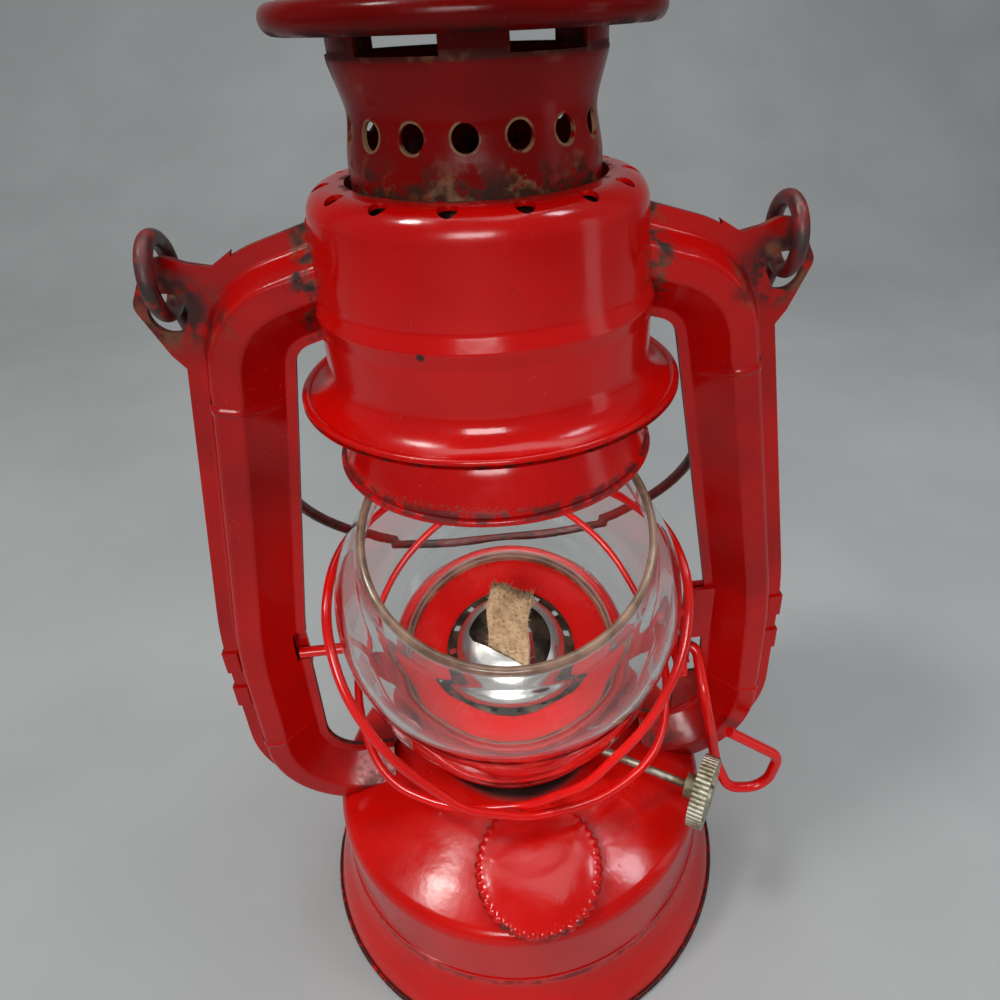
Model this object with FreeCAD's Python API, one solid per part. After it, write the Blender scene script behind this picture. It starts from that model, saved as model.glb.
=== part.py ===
# Tilting-globe kerosene lantern, one STEP file for each separate piece.
# Millimetres, +Z up. The origin is the centre of the base's resting plane, on the lantern's axis.
# +X runs through the right side tube, -Y is the front, where the filler cap is.
# The rest pose: globe tilted forward for lighting, lift lever down, bail hanging behind.
import FreeCAD, Part
import math
import os

V = FreeCAD.Vector
X_AXIS = V(1, 0, 0)
Y_AXIS = V(0, 1, 0)
Z_AXIS = V(0, 0, 1)
ORIGIN = V(0, 0, 0)

# Sheet, wire and clearance sizes
sheet = 0.8              # tinplate of the tank, drum and tubes
thin_sheet = 0.7         # tinplate of the chimney and its bell
slide_gap = 0.3          # between pieces that slide on each other
bore_gap = 0.05          # radial clearance of a shaft in its bore
axis_gap = 0.01          # a closed top or floor stops this short of the axis

# Tank and base
base_r = 63.75
skirt_spread = 7.25      # from the tank's wall out to the base's edge
skirt_height = 20.4
skirt_edge_r = 1.1       # rolled edge that the lantern stands on
skirt_toe = (2.4, 6.5)   # in from the base's edge, and up
skirt_waist = (1.4, 13.5)  # out from the skirt's top, and up
skirt_socket = 3.2       # its straight top, round the tank's wall
skirt_bends = (12.0, 25.0, 9.0)
stand_flat = 0.2         # worn off its underside, to a flat ring
wall_foot_r = base_r - skirt_spread
wall_bend_r = 30.0
shoulder_r = wall_foot_r - 0.7
shoulder_z = 43.0
shoulder_round = 1.6
dome_mid_r = shoulder_r - 14.3
dome_mid_z = 46.8
dome_bend_r = 60.0
dome_top_z = 53.6
dome_land = 4.0          # near-level ring round the burner's collar
dome_land_fall = 0.8
dome_land_bend_r = 20.0
tank_floor_z = 8.0
tank_floor_lip = 3.0
collar_r = 16.0
collar_hole_r = 13.0
collar_height = 1.2
collar_sink = 0.9        # below the dome's top

# Filler neck and screw cap, on an axis that leans forward
cap_x = 1.5
cap_y = -dome_mid_r
cap_z = dome_mid_z + 2.2
cap_lean = 16.0
cap_r = 17.2
cap_scallops = 36
cap_scallop_depth = 0.55
cap_skirt = 1.7          # below the cap's rim plane
cap_rise = 2.2           # above it, up to the crowned top
cap_crown = 1.3
cap_crown_inset = 1.6    # from the cap's edge in to its crown
cap_wall = 1.3
cap_thread_gap = 0.1
cap_thread_wall = 1.0
cap_thread_lift = 0.2    # of the thread's lower end over the cap's
neck_r = 13.5
neck_depth = 7.0
neck_lip = 0.4           # above the cap's rim plane
neck_hole_reach = 15.0   # of the cut in the tank, each way along the neck's axis
gasket_thick = 0.8
gasket_inset = 0.2
gasket_width = 3.3

# Burner, wick and its knob; the burner is turned about the axis
burner_turn = -34.0
burner_r = 12.4
burner_wall = 1.0
burner_shoulder = 2.6
burner_shoulder_drop = 3.0
burner_foot_gap = 0.2    # over the tank's dome
burner_flange_out = 0.6  # past the collar
burner_flange_in = 0.5
burner_flange_thick = 1.0
burner_top_z = 65.0
gland_wall = 1.6
gland_inset = 1.5
gland_length = 6.5
wick_width = 12.7
wick_thick = 2.5
wick_top_z = 112.5
wick_foot_z = 34.0
wick_offset = -1.6       # wick plane, in front of the lantern's axis
shaft_offset = 1.6       # shaft, behind it
wick_play = 0.3
wick_tube_wall = 0.6
wick_tube_top_z = 83.5
wick_tube_tail = 8.0     # below the shaft
wick_tube_corner = 0.7   # share of its half depth
shaft_r = 1.2
shaft_z = 58.0
shaft_hole_gap = 0.2     # where the shaft passes through the wick's tube
spur_bite_gap = 0.06     # between the spur wheels and the wick
spur_width = 1.6
spur_spacing = 6.4
spur_window_gap = 0.35   # round a spur wheel in the tube's window
spur_side_gap = 0.4
knob_r = 10.0
knob_thick = 4.0
knob_teeth = 44
knob_tooth_depth = 0.45
knob_rim = 2.4           # round its dished face
knob_dish = 0.8
knob_hub_r = 3.4
knob_hub_length = 3.0
knob_reach = 60.0        # from the axis to the knob's outer face
rivet_r = 2.6
rivet_height = 1.2

# What stands over the globe moves with the glass's top
glass_top_z = 158.2

# Side tubes: corners of the centre line in the XZ plane, right side
tube_start = (28.0, glass_top_z + 39.1)
tube_shoulder = (49.2, glass_top_z + 32.7)
tube_knee = (65.3, 104.0)
tube_heel = (67.6, 45.2)
tube_end = (38.0, 45.2)
shoulder_bend_r = 16.0
knee_bend_r = 120.0
heel_bend_r = 20.5
flange_out = 10.75       # half width of a side tube over its flanges
flange_outer_width = 3.8
flange_inner_width = 2.2
tube_depth = 8.3         # of each half, front or rear
ridge_in = -1.2          # inner edge of the flat ridge, across the tube
ridge_out = 4.4
ridge_round = 1.4
flange_round = 0.9

# Bail ears on the outer flanges, and the bail
ear_hole = (62.1, glass_top_z + 33.6)
ear_hole_r = 4.0
ear_corners = ((-14.6, 11.2), (-10.1, 8.4), (-5.6, 9.4), (-2.1, 10.8), (1.9, 10.4), (6.5, 1.8),
               (2.1, -8.6), (-1.6, -13.8), (-6.6, -8.3), (-12.1, 4.2))   # from the ear's hole
ear_rounds = (0.8, 3.0, 3.0, 3.5, 3.0, 3.0, 0, 0, 0)
bail_wire_r = 1.65
bail_x = 61.75
bail_pivot_z = glass_top_z + 40.8
bail_eye_r = 7.0
bail_hang = 28.0         # degrees behind straight down, at rest
bail_reach = 132.0
bail_bend_r = 50.0

# Folded clips over the outer seams
clip_length = 7.0
clip_centres_z = (96.5, 83.5)
clip_thick = 0.7
clip_width = 3.4
clip_round = 0.5
clip_seat_gap = 0.1      # outside the flanges' edge

# Drum under the chimney
drum_top_z = glass_top_z + 55.8
drum_r = 32.9
drum_corner_r = 5.0
drum_bead_z = glass_top_z + 33.8
drum_bead_r = 33.9
drum_bead_half = 3.0     # of its height
drum_bead_round = 1.2
drum_lower_r = 33.4
drum_flare_z = glass_top_z + 22.8
drum_draft = 1.2         # from the drum's top edge to its bead
drum_lip_r = 39.5
drum_lip_bead_r = 0.7
drum_lip_z = glass_top_z + 15.6
drum_hole_r = 24.4
vent_ring_r = 28.6
vent_r = 1.7
vent_count = 15

# Chimney, bell and canopy
chimney_r = 23.1
chimney_foot_z = glass_top_z + 15.8
waist_z = glass_top_z + 66.8
waist_r = 21.8
flare_z = glass_top_z + 74.5
flare_r = 24.0
chimney_top_z = glass_top_z + 86.8
round_hole_z = glass_top_z + 64.4
round_hole_r = 2.15
round_hole_count = 16
round_hole_first = -5.9   # degrees from the front
window_low_z = glass_top_z + 75.4
window_high_z = glass_top_z + 82.3
window_count = 6
post_angle = 25.0
bell_rim_r = 34.8
bell_rim_z = glass_top_z
bell_bead_r = 0.9
bell_mid = (31.0, bell_rim_z + 8.8)
bell_collar_z = bell_rim_z + 19.8
canopy_r = 33.4
canopy_z = glass_top_z + 80.5
canopy_bead_r = 2.3
canopy_shoulder_z = canopy_z + 5.5
crown_r = 15.0
crown_z = canopy_z + 11.9
spring_wire_r = 0.7
spring_r = 25.6
spring_turns = 6
lift_ring_wire_r = 1.1
lift_ring_r = 12.0
lift_ring_lean = 12.0    # above level, where the ring lies at rest
lift_ring_hinge_z = crown_z + 4.0
lift_ring_bends = (2.4, 5.0, 6.0, 6.0, 6.0, 6.0, 5.0, 2.4)
ring_lug_gap = 7.0
ring_lug_half = 3.0      # of a lug's width
ring_lug_thick = 1.2

# Globe and its tilting frame, given upright and then turned forward about the hinge
hinge_z = 96.5
globe_tilt = 25.8
plate_z = 80.0
plate_r = 42.5
plate_hole_r = 19.3
plate_drop = 1.6         # of the outer part, below the glass's seat
plate_rib = 2.0
plate_rim = 1.2
glass_wall = 1.7
glass_foot_r = 30.8
glass_belly_r = 41.0
glass_belly_height = 35.0
glass_top_r = 30.6
air_ring_height = 2.4
air_ring_holes = 24
air_ring_hole_r = 0.8
dome_r = 16.5
dome_height = 9.5
dome_wall = 0.6
dome_slot_width = 10.4
dome_slot_length = 22.0
guard_wire_r = 1.2
guard_cross_offset = 1.4
guard_cross_out = 0.8    # both rings stand further out where they cross
guard_joint_gap = 0.3
# One guard ring: degrees round the globe from the front, its radius, and its height over the plate
guard_points = ((0, 44.5, 3.0), (-25, 47.0, -2.0), (-50, 50.5, -6.0), (-75, 47.8, -6.0), (-100, 46.2, -4.3),
                (-130, 45.0, 3.0), (-155, 45.0, 11.0), (180, 44.3, 21.0), (155, 44.3, 31.0),
                (130, 44.3, 39.0), (107, 44.5, 44.5), (85, 44.5, 45.5), (65, 45.0, 38.0), (45, 45.0, 26.0),
                (20, 45.0, 12.0))
hinge_wire_r = 1.5
hinge_wire_x = 42.2
hinge_bend_r = 2.6
left_pin_end_x = 57.2

# Lift lever, its eccentric and the slides at the hinge
lever_wire_r = 1.6
lever_z = 83.0
lever_out_x = 54.0       # where it turns down, outside the bracket's eye
lever_drop = (54.0, -11.0, -9.5)      # its corners: x, y, and z from the lever's axis
lever_leg = (60.0, -13.0, -39.0)
lever_loop = ((63.6, -16.5, -47.6), (75.8, -16.5, -49.6), (78.3, -16.0, -35.5), (61.2, -15.6, -21.4))
lever_bends = (3.2, 8.0, 9.0, 6.0, 6.5, 5.5)
cam_r = 4.5
cam_throw = 4.5
cam_start = 222.0        # degrees from +Y towards +Z
cam_x = 47.5
cam_thick = 1.8
link_x = 45.0
link_thick = 1.4
link_half = 5.0
foot_thick = 1.2
tongue_thick = 0.8
tongue_x = 53.0
eye_plate_thick = 1.3
bracket_top_z = 106.0
bracket_side_thick = 1.2
carriage_travel = 6.1    # of the globe's carriage, up from rest
clip_leaf = 1.0          # of the clip behind the slot in the left seam
clip_end = 2.2           # its turned ends, along the seam
clip_depth = 3.4         # across the seam
strap_thick = 1.2
strap_x = 48.2
strap_top_z = 74.6
strap_dip = 2.4


def rounded(points, radii):
    """A wire of straight runs, with a tangent arc of the given radius at each inner corner."""
    points = [V(*p) for p in points]
    edges = []
    start = points[0]
    for i in range(1, len(points) - 1):
        corner = points[i]
        back = (points[i - 1] - corner).normalize()
        ahead = (points[i + 1] - corner).normalize()
        turn = math.pi - back.getAngle(ahead)
        radius = radii[i - 1] if isinstance(radii, (list, tuple)) else radii
        if radius <= 0 or turn < 1e-4:
            edges.append(Part.LineSegment(start, corner).toShape())
            start = corner
            continue
        cut = radius * math.tan(turn / 2)
        first = corner + back * cut
        last = corner + ahead * cut
        middle = (back + ahead).normalize()
        centre = corner + middle * (radius / math.cos(turn / 2))
        top = centre - middle * radius
        if (first - start).Length > 1e-6:
            edges.append(Part.LineSegment(start, first).toShape())
        edges.append(Part.Arc(first, top, last).toShape())
        start = last
    edges.append(Part.LineSegment(start, points[-1]).toShape())
    return Part.Wire(edges)


def even_radii(points):
    """The largest tangent radius that each corner's two runs allow."""
    radii = []
    for i in range(1, len(points) - 1):
        a, b, c = V(*points[i - 1]), V(*points[i]), V(*points[i + 1])
        turn = math.pi - (a - b).getAngle(c - b)
        shorter = min((a - b).Length, (c - b).Length)
        radii.append(0.45 * shorter / math.tan(turn / 2) if turn > 1e-3 else 0)
    return radii


def wire_tube(points, radii, r):
    """Round wire of radius r along a rounded path."""
    path = rounded(points, radii)
    along = V(*points[1]) - V(*points[0])
    ring = Part.Wire([Part.Circle(V(*points[0]), along, r).toShape()])
    return path.makePipeShell([ring], True, False)


def beside(points, radii, thick):
    """A 2D path moved sideways by thick, to its left where thick is positive, with its radii."""
    moved = []
    new_radii = []
    count = len(points)
    for i in range(count):
        x, z = points[i]
        legs = []
        if i > 0:
            legs.append((x - points[i - 1][0], z - points[i - 1][1]))
        if i < count - 1:
            legs.append((points[i + 1][0] - x, points[i + 1][1] - z))
        sides = []
        for dx, dz in legs:
            long = math.hypot(dx, dz)
            sides.append((-dz / long, dx / long))
        nx = sum(n[0] for n in sides)
        nz = sum(n[1] for n in sides)
        long = math.hypot(nx, nz)
        nx, nz = nx / long, nz / long
        reach = thick / (nx * sides[0][0] + nz * sides[0][1])
        moved.append((x + nx * reach, z + nz * reach))
        if 0 < i < count - 1:
            left_turn = legs[0][0] * legs[1][1] - legs[0][1] * legs[1][0] > 0
            radius = radii[i - 1] - thick if left_turn else radii[i - 1] + thick
            new_radii.append(max(radius, 0) if radii[i - 1] > 0 else 0)
    return moved, new_radii


def sheet_wire(points, radii, thick):
    """The closed outline of a bent sheet: a path, and the same path one thickness to its left."""
    other, other_radii = beside(points, radii, thick)
    near = rounded([(x, 0, z) for x, z in points], radii)
    far = rounded([(x, 0, z) for x, z in other], other_radii)
    ends = [Part.LineSegment(V(a[0], 0, a[1]), V(b[0], 0, b[1])).toShape()
            for a, b in ((points[-1], other[-1]), (other[0], points[0]))]
    return Part.Wire(Part.__sortEdges__(near.Edges + far.Edges + ends))


def sheet_face(points, radii, thick):
    return Part.Face(sheet_wire(points, radii, thick))


def spun(points, radii, thick):
    """A sheet turned about the Z axis. The thickness lies to the side that its sign says."""
    return sheet_face(points, radii, thick).revolve(ORIGIN, Z_AXIS, 360)


def turned(points, radii=0):
    """A closed profile of (r, z) points turned about the Z axis."""
    flat = [(r, 0, z) for r, z in points]
    middle = ((flat[0][0] + flat[-1][0]) / 2, 0, (flat[0][2] + flat[-1][2]) / 2)
    wire = rounded([middle] + flat + [middle], radii)
    return Part.Face(wire).revolve(ORIGIN, Z_AXIS, 360)


def box(x0, y0, z0, x1, y1, z1):
    return Part.makeBox(x1 - x0, y1 - y0, z1 - z0, V(x0, y0, z0))


def rod(r, start, axis, length):
    return Part.makeCylinder(r, length, V(*start), axis)


def ringed(shape, count, first=0.0):
    """Copies of a shape around the Z axis."""
    copies = []
    for i in range(count):
        copy = shape.copy()
        copy.rotate(ORIGIN, Z_AXIS, first + 360.0 * i / count)
        copies.append(copy)
    return copies


def eased(shape, radius, axis, above=None):
    """Rounds the straight edges along an axis: all of them, or those that lie above a height."""
    edges = [e for e in shape.Edges if abs(e.tangentAt(0).dot(axis)) > 0.9]
    if above is not None:
        edges = [e for e in edges if e.BoundBox.ZMin > above]
    return shape.makeFillet(radius, edges)


def mirrored_x(shape):
    return shape.mirror(ORIGIN, X_AXIS)


def mirrored_y(shape):
    return shape.mirror(ORIGIN, Y_AXIS)


def upright_to_rest(shape):
    """Turns a piece of the globe's frame forward, to where it lies at rest."""
    shape.rotate(V(0, 0, hinge_z), X_AXIS, globe_tilt)
    return shape


def burner_to_rest(shape):
    """Turns a piece that is made along X to the burner's direction."""
    shape.rotate(ORIGIN, Z_AXIS, burner_turn)
    return shape


def cap_to_rest(shape):
    """Moves a piece that is made about Z at the origin onto the filler's leaning axis."""
    shape.rotate(ORIGIN, X_AXIS, cap_lean)
    shape.translate(V(cap_x, cap_y, cap_z))
    return shape


def toothed_disc(r, depth, teeth, thick):
    """A disc with rounded scallops round its edge, standing on the XY plane."""
    edges = []
    step = 2 * math.pi / teeth

    def at(radius, angle):
        return V(radius * math.cos(angle), radius * math.sin(angle), 0)

    for i in range(teeth):
        a = i * step
        edges.append(Part.Arc(at(r - depth, a), at(r, a + step / 2), at(r - depth, a + step)).toShape())
    return Part.Face(Part.Wire(edges)).extrude(V(0, 0, thick))


# Tank and base
def tank_outline():
    """The tank's outside from its floor to the burner's hole, as (r, z) points and their radii."""
    points = [(wall_foot_r, tank_floor_z), (wall_foot_r, skirt_height), (shoulder_r, shoulder_z),
              (dome_mid_r, dome_mid_z), (collar_r + dome_land, dome_top_z - dome_land_fall),
              (collar_hole_r, dome_top_z)]
    return points, [wall_bend_r, shoulder_round, dome_bend_r, dome_land_bend_r]


def tank_solid():
    """The tank as if it were solid, for trimming what is soldered to it."""
    points, radii = tank_outline()
    wire = rounded([(r, 0, z) for r, z in points] + [(0, 0, dome_top_z)], radii + [0])
    closing = Part.makePolygon([V(0, 0, dome_top_z), V(0, 0, tank_floor_z), V(wall_foot_r, 0, tank_floor_z)])
    return Part.Face(Part.Wire(wire.Edges + closing.Edges)).revolve(ORIGIN, Z_AXIS, 360)


def base_skirt():
    top_r = wall_foot_r + sheet
    flare = [(base_r - skirt_edge_r + sheet / 2, skirt_edge_r), (base_r - skirt_toe[0], skirt_toe[1]),
             (top_r + skirt_waist[0], skirt_waist[1]), (top_r, skirt_height - skirt_socket),
             (top_r, skirt_height)]
    body = spun(flare, skirt_bends, sheet)
    edge = Part.makeTorus(base_r - skirt_edge_r, skirt_edge_r, V(0, 0, skirt_edge_r - stand_flat))
    floor = Part.makeCylinder(base_r + 5, 5, V(0, 0, -5))
    return body.fuse(edge).cut(floor)


def tank_shell():
    points, radii = tank_outline()
    return spun(points, radii, sheet).cut(neck_hole())


def tank_bottom():
    lip = tank_floor_z + tank_floor_lip
    r = wall_foot_r - sheet
    return turned([(axis_gap, tank_floor_z), (r, tank_floor_z), (r, lip), (r - sheet, lip),
                   (r - sheet, tank_floor_z + sheet), (axis_gap, tank_floor_z + sheet)])


def burner_collar():
    low = dome_top_z - collar_sink
    ring = turned([(collar_hole_r, low), (collar_r, low), (collar_r, dome_top_z + collar_height),
                   (collar_hole_r, dome_top_z + collar_height)])
    return ring.cut(tank_solid())


def filler_neck():
    tube = Part.makeCylinder(neck_r, neck_depth, V(0, 0, -neck_depth + neck_lip))
    bore = Part.makeCylinder(neck_r - sheet, neck_depth + 2, V(0, 0, -neck_depth - 1))
    return cap_to_rest(tube.cut(bore))


def filler_cap():
    plate = toothed_disc(cap_r, cap_scallop_depth, cap_scallops, cap_skirt + cap_rise)
    plate.translate(V(0, 0, -cap_skirt))
    crown_base = cap_r - cap_crown_inset
    ball_r = (crown_base ** 2 + cap_crown ** 2) / (2 * cap_crown)
    ball = Part.makeSphere(ball_r, V(0, 0, cap_rise + cap_crown - ball_r))
    crown = ball.common(Part.makeCylinder(crown_base, cap_crown + 1, V(0, 0, cap_rise)))
    ceiling = neck_lip + gasket_thick
    thread_r = neck_r + cap_thread_gap
    hollow = Part.makeCylinder(cap_r - cap_wall, cap_skirt + ceiling, V(0, 0, -cap_skirt))
    liner = Part.makeCylinder(thread_r + cap_thread_wall, cap_skirt + ceiling - cap_thread_lift,
                              V(0, 0, -cap_skirt + cap_thread_lift))
    bore = Part.makeCylinder(thread_r, cap_skirt + ceiling, V(0, 0, -cap_skirt))
    return cap_to_rest(plate.fuse(crown).cut(hollow).fuse(liner.cut(bore)).removeSplitter())


def cap_gasket():
    outer_r = neck_r - gasket_inset
    ring = Part.makeCylinder(outer_r, gasket_thick, V(0, 0, neck_lip))
    return cap_to_rest(ring.cut(Part.makeCylinder(outer_r - gasket_width, neck_lip + 2 * gasket_thick)))


# Burner, wick and knob, made along X and turned to the burner's direction
spur_r = shaft_offset - wick_offset - wick_thick / 2 - spur_bite_gap


def wick_tube():
    half_x = wick_width / 2 + wick_play + wick_tube_wall
    half_y = wick_thick / 2 + wick_play + wick_tube_wall
    low = shaft_z - wick_tube_tail
    tube = box(-half_x, wick_offset - half_y, low, half_x, wick_offset + half_y, wick_tube_top_z)
    tube = eased(tube, half_y * wick_tube_corner, Z_AXIS)
    wall = wick_tube_wall
    bore = box(-half_x + wall, wick_offset - half_y + wall, low - 1,
               half_x - wall, wick_offset + half_y - wall, wick_tube_top_z + 1)
    for side in (-1, 1):
        start_x = side * spur_spacing / 2 - spur_width / 2 - spur_side_gap
        bore = bore.fuse(rod(spur_r + spur_window_gap, (start_x, shaft_offset, shaft_z),
                             X_AXIS, spur_width + 2 * spur_side_gap))
    passage = rod(shaft_r + shaft_hole_gap, (-half_x - 1, shaft_offset, shaft_z), X_AXIS, 2 * half_x + 2)
    return burner_to_rest(tube.cut(bore.fuse(passage)))


def burner_body():
    low = dome_top_z + burner_foot_gap
    inner_r = burner_r - burner_wall
    ceiling_z = burner_top_z - burner_wall
    shoulder_z = burner_top_z - burner_shoulder_drop
    top_r = burner_r - burner_shoulder
    inset = 0.4 * burner_wall
    shell = turned([(inner_r, low), (burner_r, low), (burner_r, shoulder_z), (top_r, burner_top_z),
                    (axis_gap, burner_top_z), (axis_gap, ceiling_z), (top_r - inset, ceiling_z),
                    (inner_r, shoulder_z - inset)])
    flange_z = dome_top_z + collar_height
    flange_r = collar_r + burner_flange_out
    flange_top = flange_z + burner_flange_thick
    flange = turned([(burner_r - burner_flange_in, flange_z), (flange_r, flange_z), (flange_r, flange_top),
                     (burner_r - burner_flange_in, flange_top)])
    half_x = wick_width / 2 + wick_play + wick_tube_wall
    half_y = wick_thick / 2 + wick_play + wick_tube_wall
    opening = box(-half_x, wick_offset - half_y, burner_top_z - 2,
                  half_x, wick_offset + half_y, burner_top_z + 1)
    opening = eased(opening, half_y * wick_tube_corner, Z_AXIS)
    bore = rod(shaft_r + bore_gap, (0, shaft_offset, shaft_z), X_AXIS, collar_r + 6)
    gland = rod(shaft_r + gland_wall, (burner_r - gland_inset, shaft_offset, shaft_z), X_AXIS, gland_length)
    body = shell.fuse(flange).fuse(gland).cut(opening).cut(bore)
    return burner_to_rest(body.removeSplitter())


def wick():
    strip = box(-wick_width / 2, wick_offset - wick_thick / 2, wick_foot_z,
                wick_width / 2, wick_offset + wick_thick / 2, wick_top_z)
    return burner_to_rest(strip)


def wick_shaft():
    inner = -spur_spacing / 2 - spur_width
    shaft = rod(shaft_r, (inner, shaft_offset, shaft_z), X_AXIS, knob_reach - inner)
    for side in (-1, 1):
        shaft = shaft.fuse(rod(spur_r, (side * spur_spacing / 2 - spur_width / 2, shaft_offset, shaft_z),
                               X_AXIS, spur_width))
    return burner_to_rest(shaft)


def wick_knob():
    disc = toothed_disc(knob_r, knob_tooth_depth, knob_teeth, knob_thick)
    dish_r = knob_r - knob_rim
    disc = disc.cut(Part.makeCone(dish_r - knob_dish, dish_r, knob_dish, V(0, 0, knob_thick - knob_dish)))
    hub = Part.makeCylinder(knob_hub_r, knob_hub_length, V(0, 0, -knob_hub_length))
    bore = Part.makeCylinder(shaft_r, knob_hub_length + 2 * knob_thick, V(0, 0, -knob_hub_length - 1))
    disc = disc.fuse(hub).cut(bore)
    disc.rotate(ORIGIN, Y_AXIS, 90)
    disc.translate(V(knob_reach - knob_thick, shaft_offset, shaft_z))
    return burner_to_rest(disc)


def knob_rivet():
    """The riveted end of the shaft, over the knob's dished face."""
    head = Part.makeSphere(rivet_r).common(box(0, -rivet_r, -rivet_r, rivet_r, rivet_r, rivet_r))
    head = head.common(rod(rivet_r, (0, 0, 0), X_AXIS, rivet_height))
    head = head.cut(rod(shaft_r, (-1, 0, 0), X_AXIS, 1 + knob_dish))
    head.translate(V(knob_reach - knob_dish, shaft_offset, shaft_z))
    return burner_to_rest(head)


# Side tubes
def tube_path():
    """The right side tube's centre line, from the drum down to the tank."""
    corners = (tube_start, tube_shoulder, tube_knee, tube_heel, tube_end)
    return rounded([(x, 0, z) for x, z in corners], [shoulder_bend_r, knee_bend_r, heel_bend_r])


def tube_frame_point(u, w):
    """Across the tube by u, outwards, and forwards by w, at its start."""
    run = V(tube_shoulder[0] - tube_start[0], 0, tube_shoulder[1] - tube_start[1]).normalize()
    across = V(-run.z, 0, run.x)
    return V(tube_start[0], 0, tube_start[1]) + across * u + V(0, -w, 0)


def half_tube():
    """The front half of the right side tube: a folded ridge between two flanges."""
    outer_foot = flange_out - flange_outer_width
    inner_foot = flange_out - flange_inner_width
    outside = [(-flange_out, sheet), (-inner_foot, sheet), (ridge_in, tube_depth), (ridge_out, tube_depth),
               (outer_foot, sheet), (flange_out, sheet)]
    outline = sheet_wire(outside, [flange_round, ridge_round, ridge_round, flange_round], -sheet)
    run = V(tube_shoulder[0] - tube_start[0], 0, tube_shoulder[1] - tube_start[1]).normalize()
    across = V(-run.z, 0, run.x)
    place = FreeCAD.Matrix(across.x, run.x, 0, tube_start[0],
                           0, 0, -1, 0,
                           across.z, run.z, 0, tube_start[1],
                           0, 0, 0, 1)
    section = outline.transformGeometry(place)
    return tube_path().makePipeShell([section], True, False)


def ear():
    """The right ear's outline, one sheet thick, in front of the seam."""
    outline = [(ear_hole[0] + x, 0, ear_hole[1] + z) for x, z in ear_corners]
    face = Part.Face(rounded(outline + outline[:1], ear_rounds))
    plate = face.extrude(V(0, -sheet, 0))
    return plate.cut(rod(ear_hole_r, (ear_hole[0], 1, ear_hole[1]), V(0, -1, 0), 3))


def inner_space():
    """What the front half tube and its ear enclose up to the tube's own centre line, to trim the ear."""
    outer_foot = flange_out - flange_outer_width
    depth = tube_depth - 0.2
    points = [(-flange_out + flange_inner_width, 0), (ridge_in, depth), (ridge_out, depth), (outer_foot, 0)]
    corners = [tube_frame_point(u, w) for u, w in points]
    corners.append(corners[0])
    return tube_path().makePipeShell([Part.makePolygon(corners)], True, False)


def arm_halves(tank, drum_space):
    front = half_tube()
    plate = ear().cut(inner_space())
    front = front.fuse(plate).cut(tank).cut(drum_space)
    front = biggest(front.removeSplitter())
    rear = mirrored_y(front)
    slot = pin_slot()
    return {"right_tube_front": front, "right_tube_rear": rear,
            "left_tube_front": mirrored_x(front).cut(slot), "left_tube_rear": mirrored_x(rear).cut(slot)}


def biggest(shape):
    return max(shape.Solids, key=lambda s: s.Volume)


def centre_x(z):
    """The side tube's centre line at a height on its long leg or below the knee."""
    if z > tube_knee[1]:
        a, b = tube_shoulder, tube_knee
    else:
        a, b = tube_knee, tube_heel
    return a[0] + (b[0] - a[0]) * (z - a[1]) / (b[1] - a[1])


def seam_clips():
    """Two folded clips on each outer seam, each one a separate solid."""
    clips = []
    lean = math.degrees(math.atan2(tube_heel[0] - tube_knee[0], tube_knee[1] - tube_heel[1]))
    for z in clip_centres_z:
        half = clip_length / 2
        grip = sheet + clip_thick
        block = box(-clip_width, -grip, -half, clip_thick, grip, half)
        block = eased(block, clip_round, Z_AXIS)
        block = block.cut(box(-clip_width - 1, -sheet, -half - 1, 0, sheet, half + 1))
        block.rotate(ORIGIN, Y_AXIS, -lean)
        block.translate(V(centre_x(z) + flange_out + clip_seat_gap, 0, z))
        clips += [block, mirrored_x(block)]
    return Part.makeCompound(clips)


# Brackets on the side tubes' inner flanges
def pin_slot():
    """The slot through the left seam, in which the left hinge pin turns and rides up and down."""
    half = hinge_wire_r + slide_gap
    edge = centre_x(hinge_z) - flange_out
    return box(-left_pin_end_x - 3 * slide_gap, -half, hinge_z - half, -edge + 3,
               half, hinge_z + carriage_travel + half)


def left_bracket(tubes):
    """A clip on the rear of the left seam, which closes the pin's slot from behind."""
    near = hinge_wire_r + slide_gap
    low = hinge_z - near - clip_end - 1
    high = hinge_z + carriage_travel + near + clip_end + 1
    edge = centre_x(hinge_z) - flange_out
    clip = box(-edge - clip_depth, sheet, low, -edge - 0.2, near + clip_leaf, high)
    inside = box(-edge - clip_depth - 1, 0, low + clip_end, -edge + 1, near, high - clip_end)
    return biggest(clip.cut(inside).cut(tubes[0]).cut(tubes[1]))


def right_bracket(tubes):
    """Two cheeks on the inner flange, and a turned-in eye plate that carries the lever."""
    eye_x = cam_x + cam_thick + slide_gap
    side_in = sheet
    side_out = side_in + bracket_side_thick
    low = lever_z + 5
    plate = box(eye_x, -side_out - 1.5, lever_z - 4.5, eye_x + eye_plate_thick, side_out + 1.5, bracket_top_z)
    plate = eased(plate, 1.8, X_AXIS)
    slot = box(eye_x - 1, -side_in, low, eye_x + eye_plate_thick, side_in, bracket_top_z + 1)
    eye = rod(lever_wire_r + bore_gap, (eye_x - 1, 0, lever_z), X_AXIS, 4)
    back_x = centre_x(hinge_z) - flange_out + 1.8
    cheeks = box(eye_x, -side_out, low, back_x, side_out, bracket_top_z)
    cheeks = cheeks.cut(box(eye_x - 1, -side_in, low - 1, back_x + 1, side_in, bracket_top_z + 1))
    body = plate.cut(slot).cut(eye).fuse(cheeks)
    return body.cut(tubes[0]).cut(tubes[1]).removeSplitter()


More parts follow.
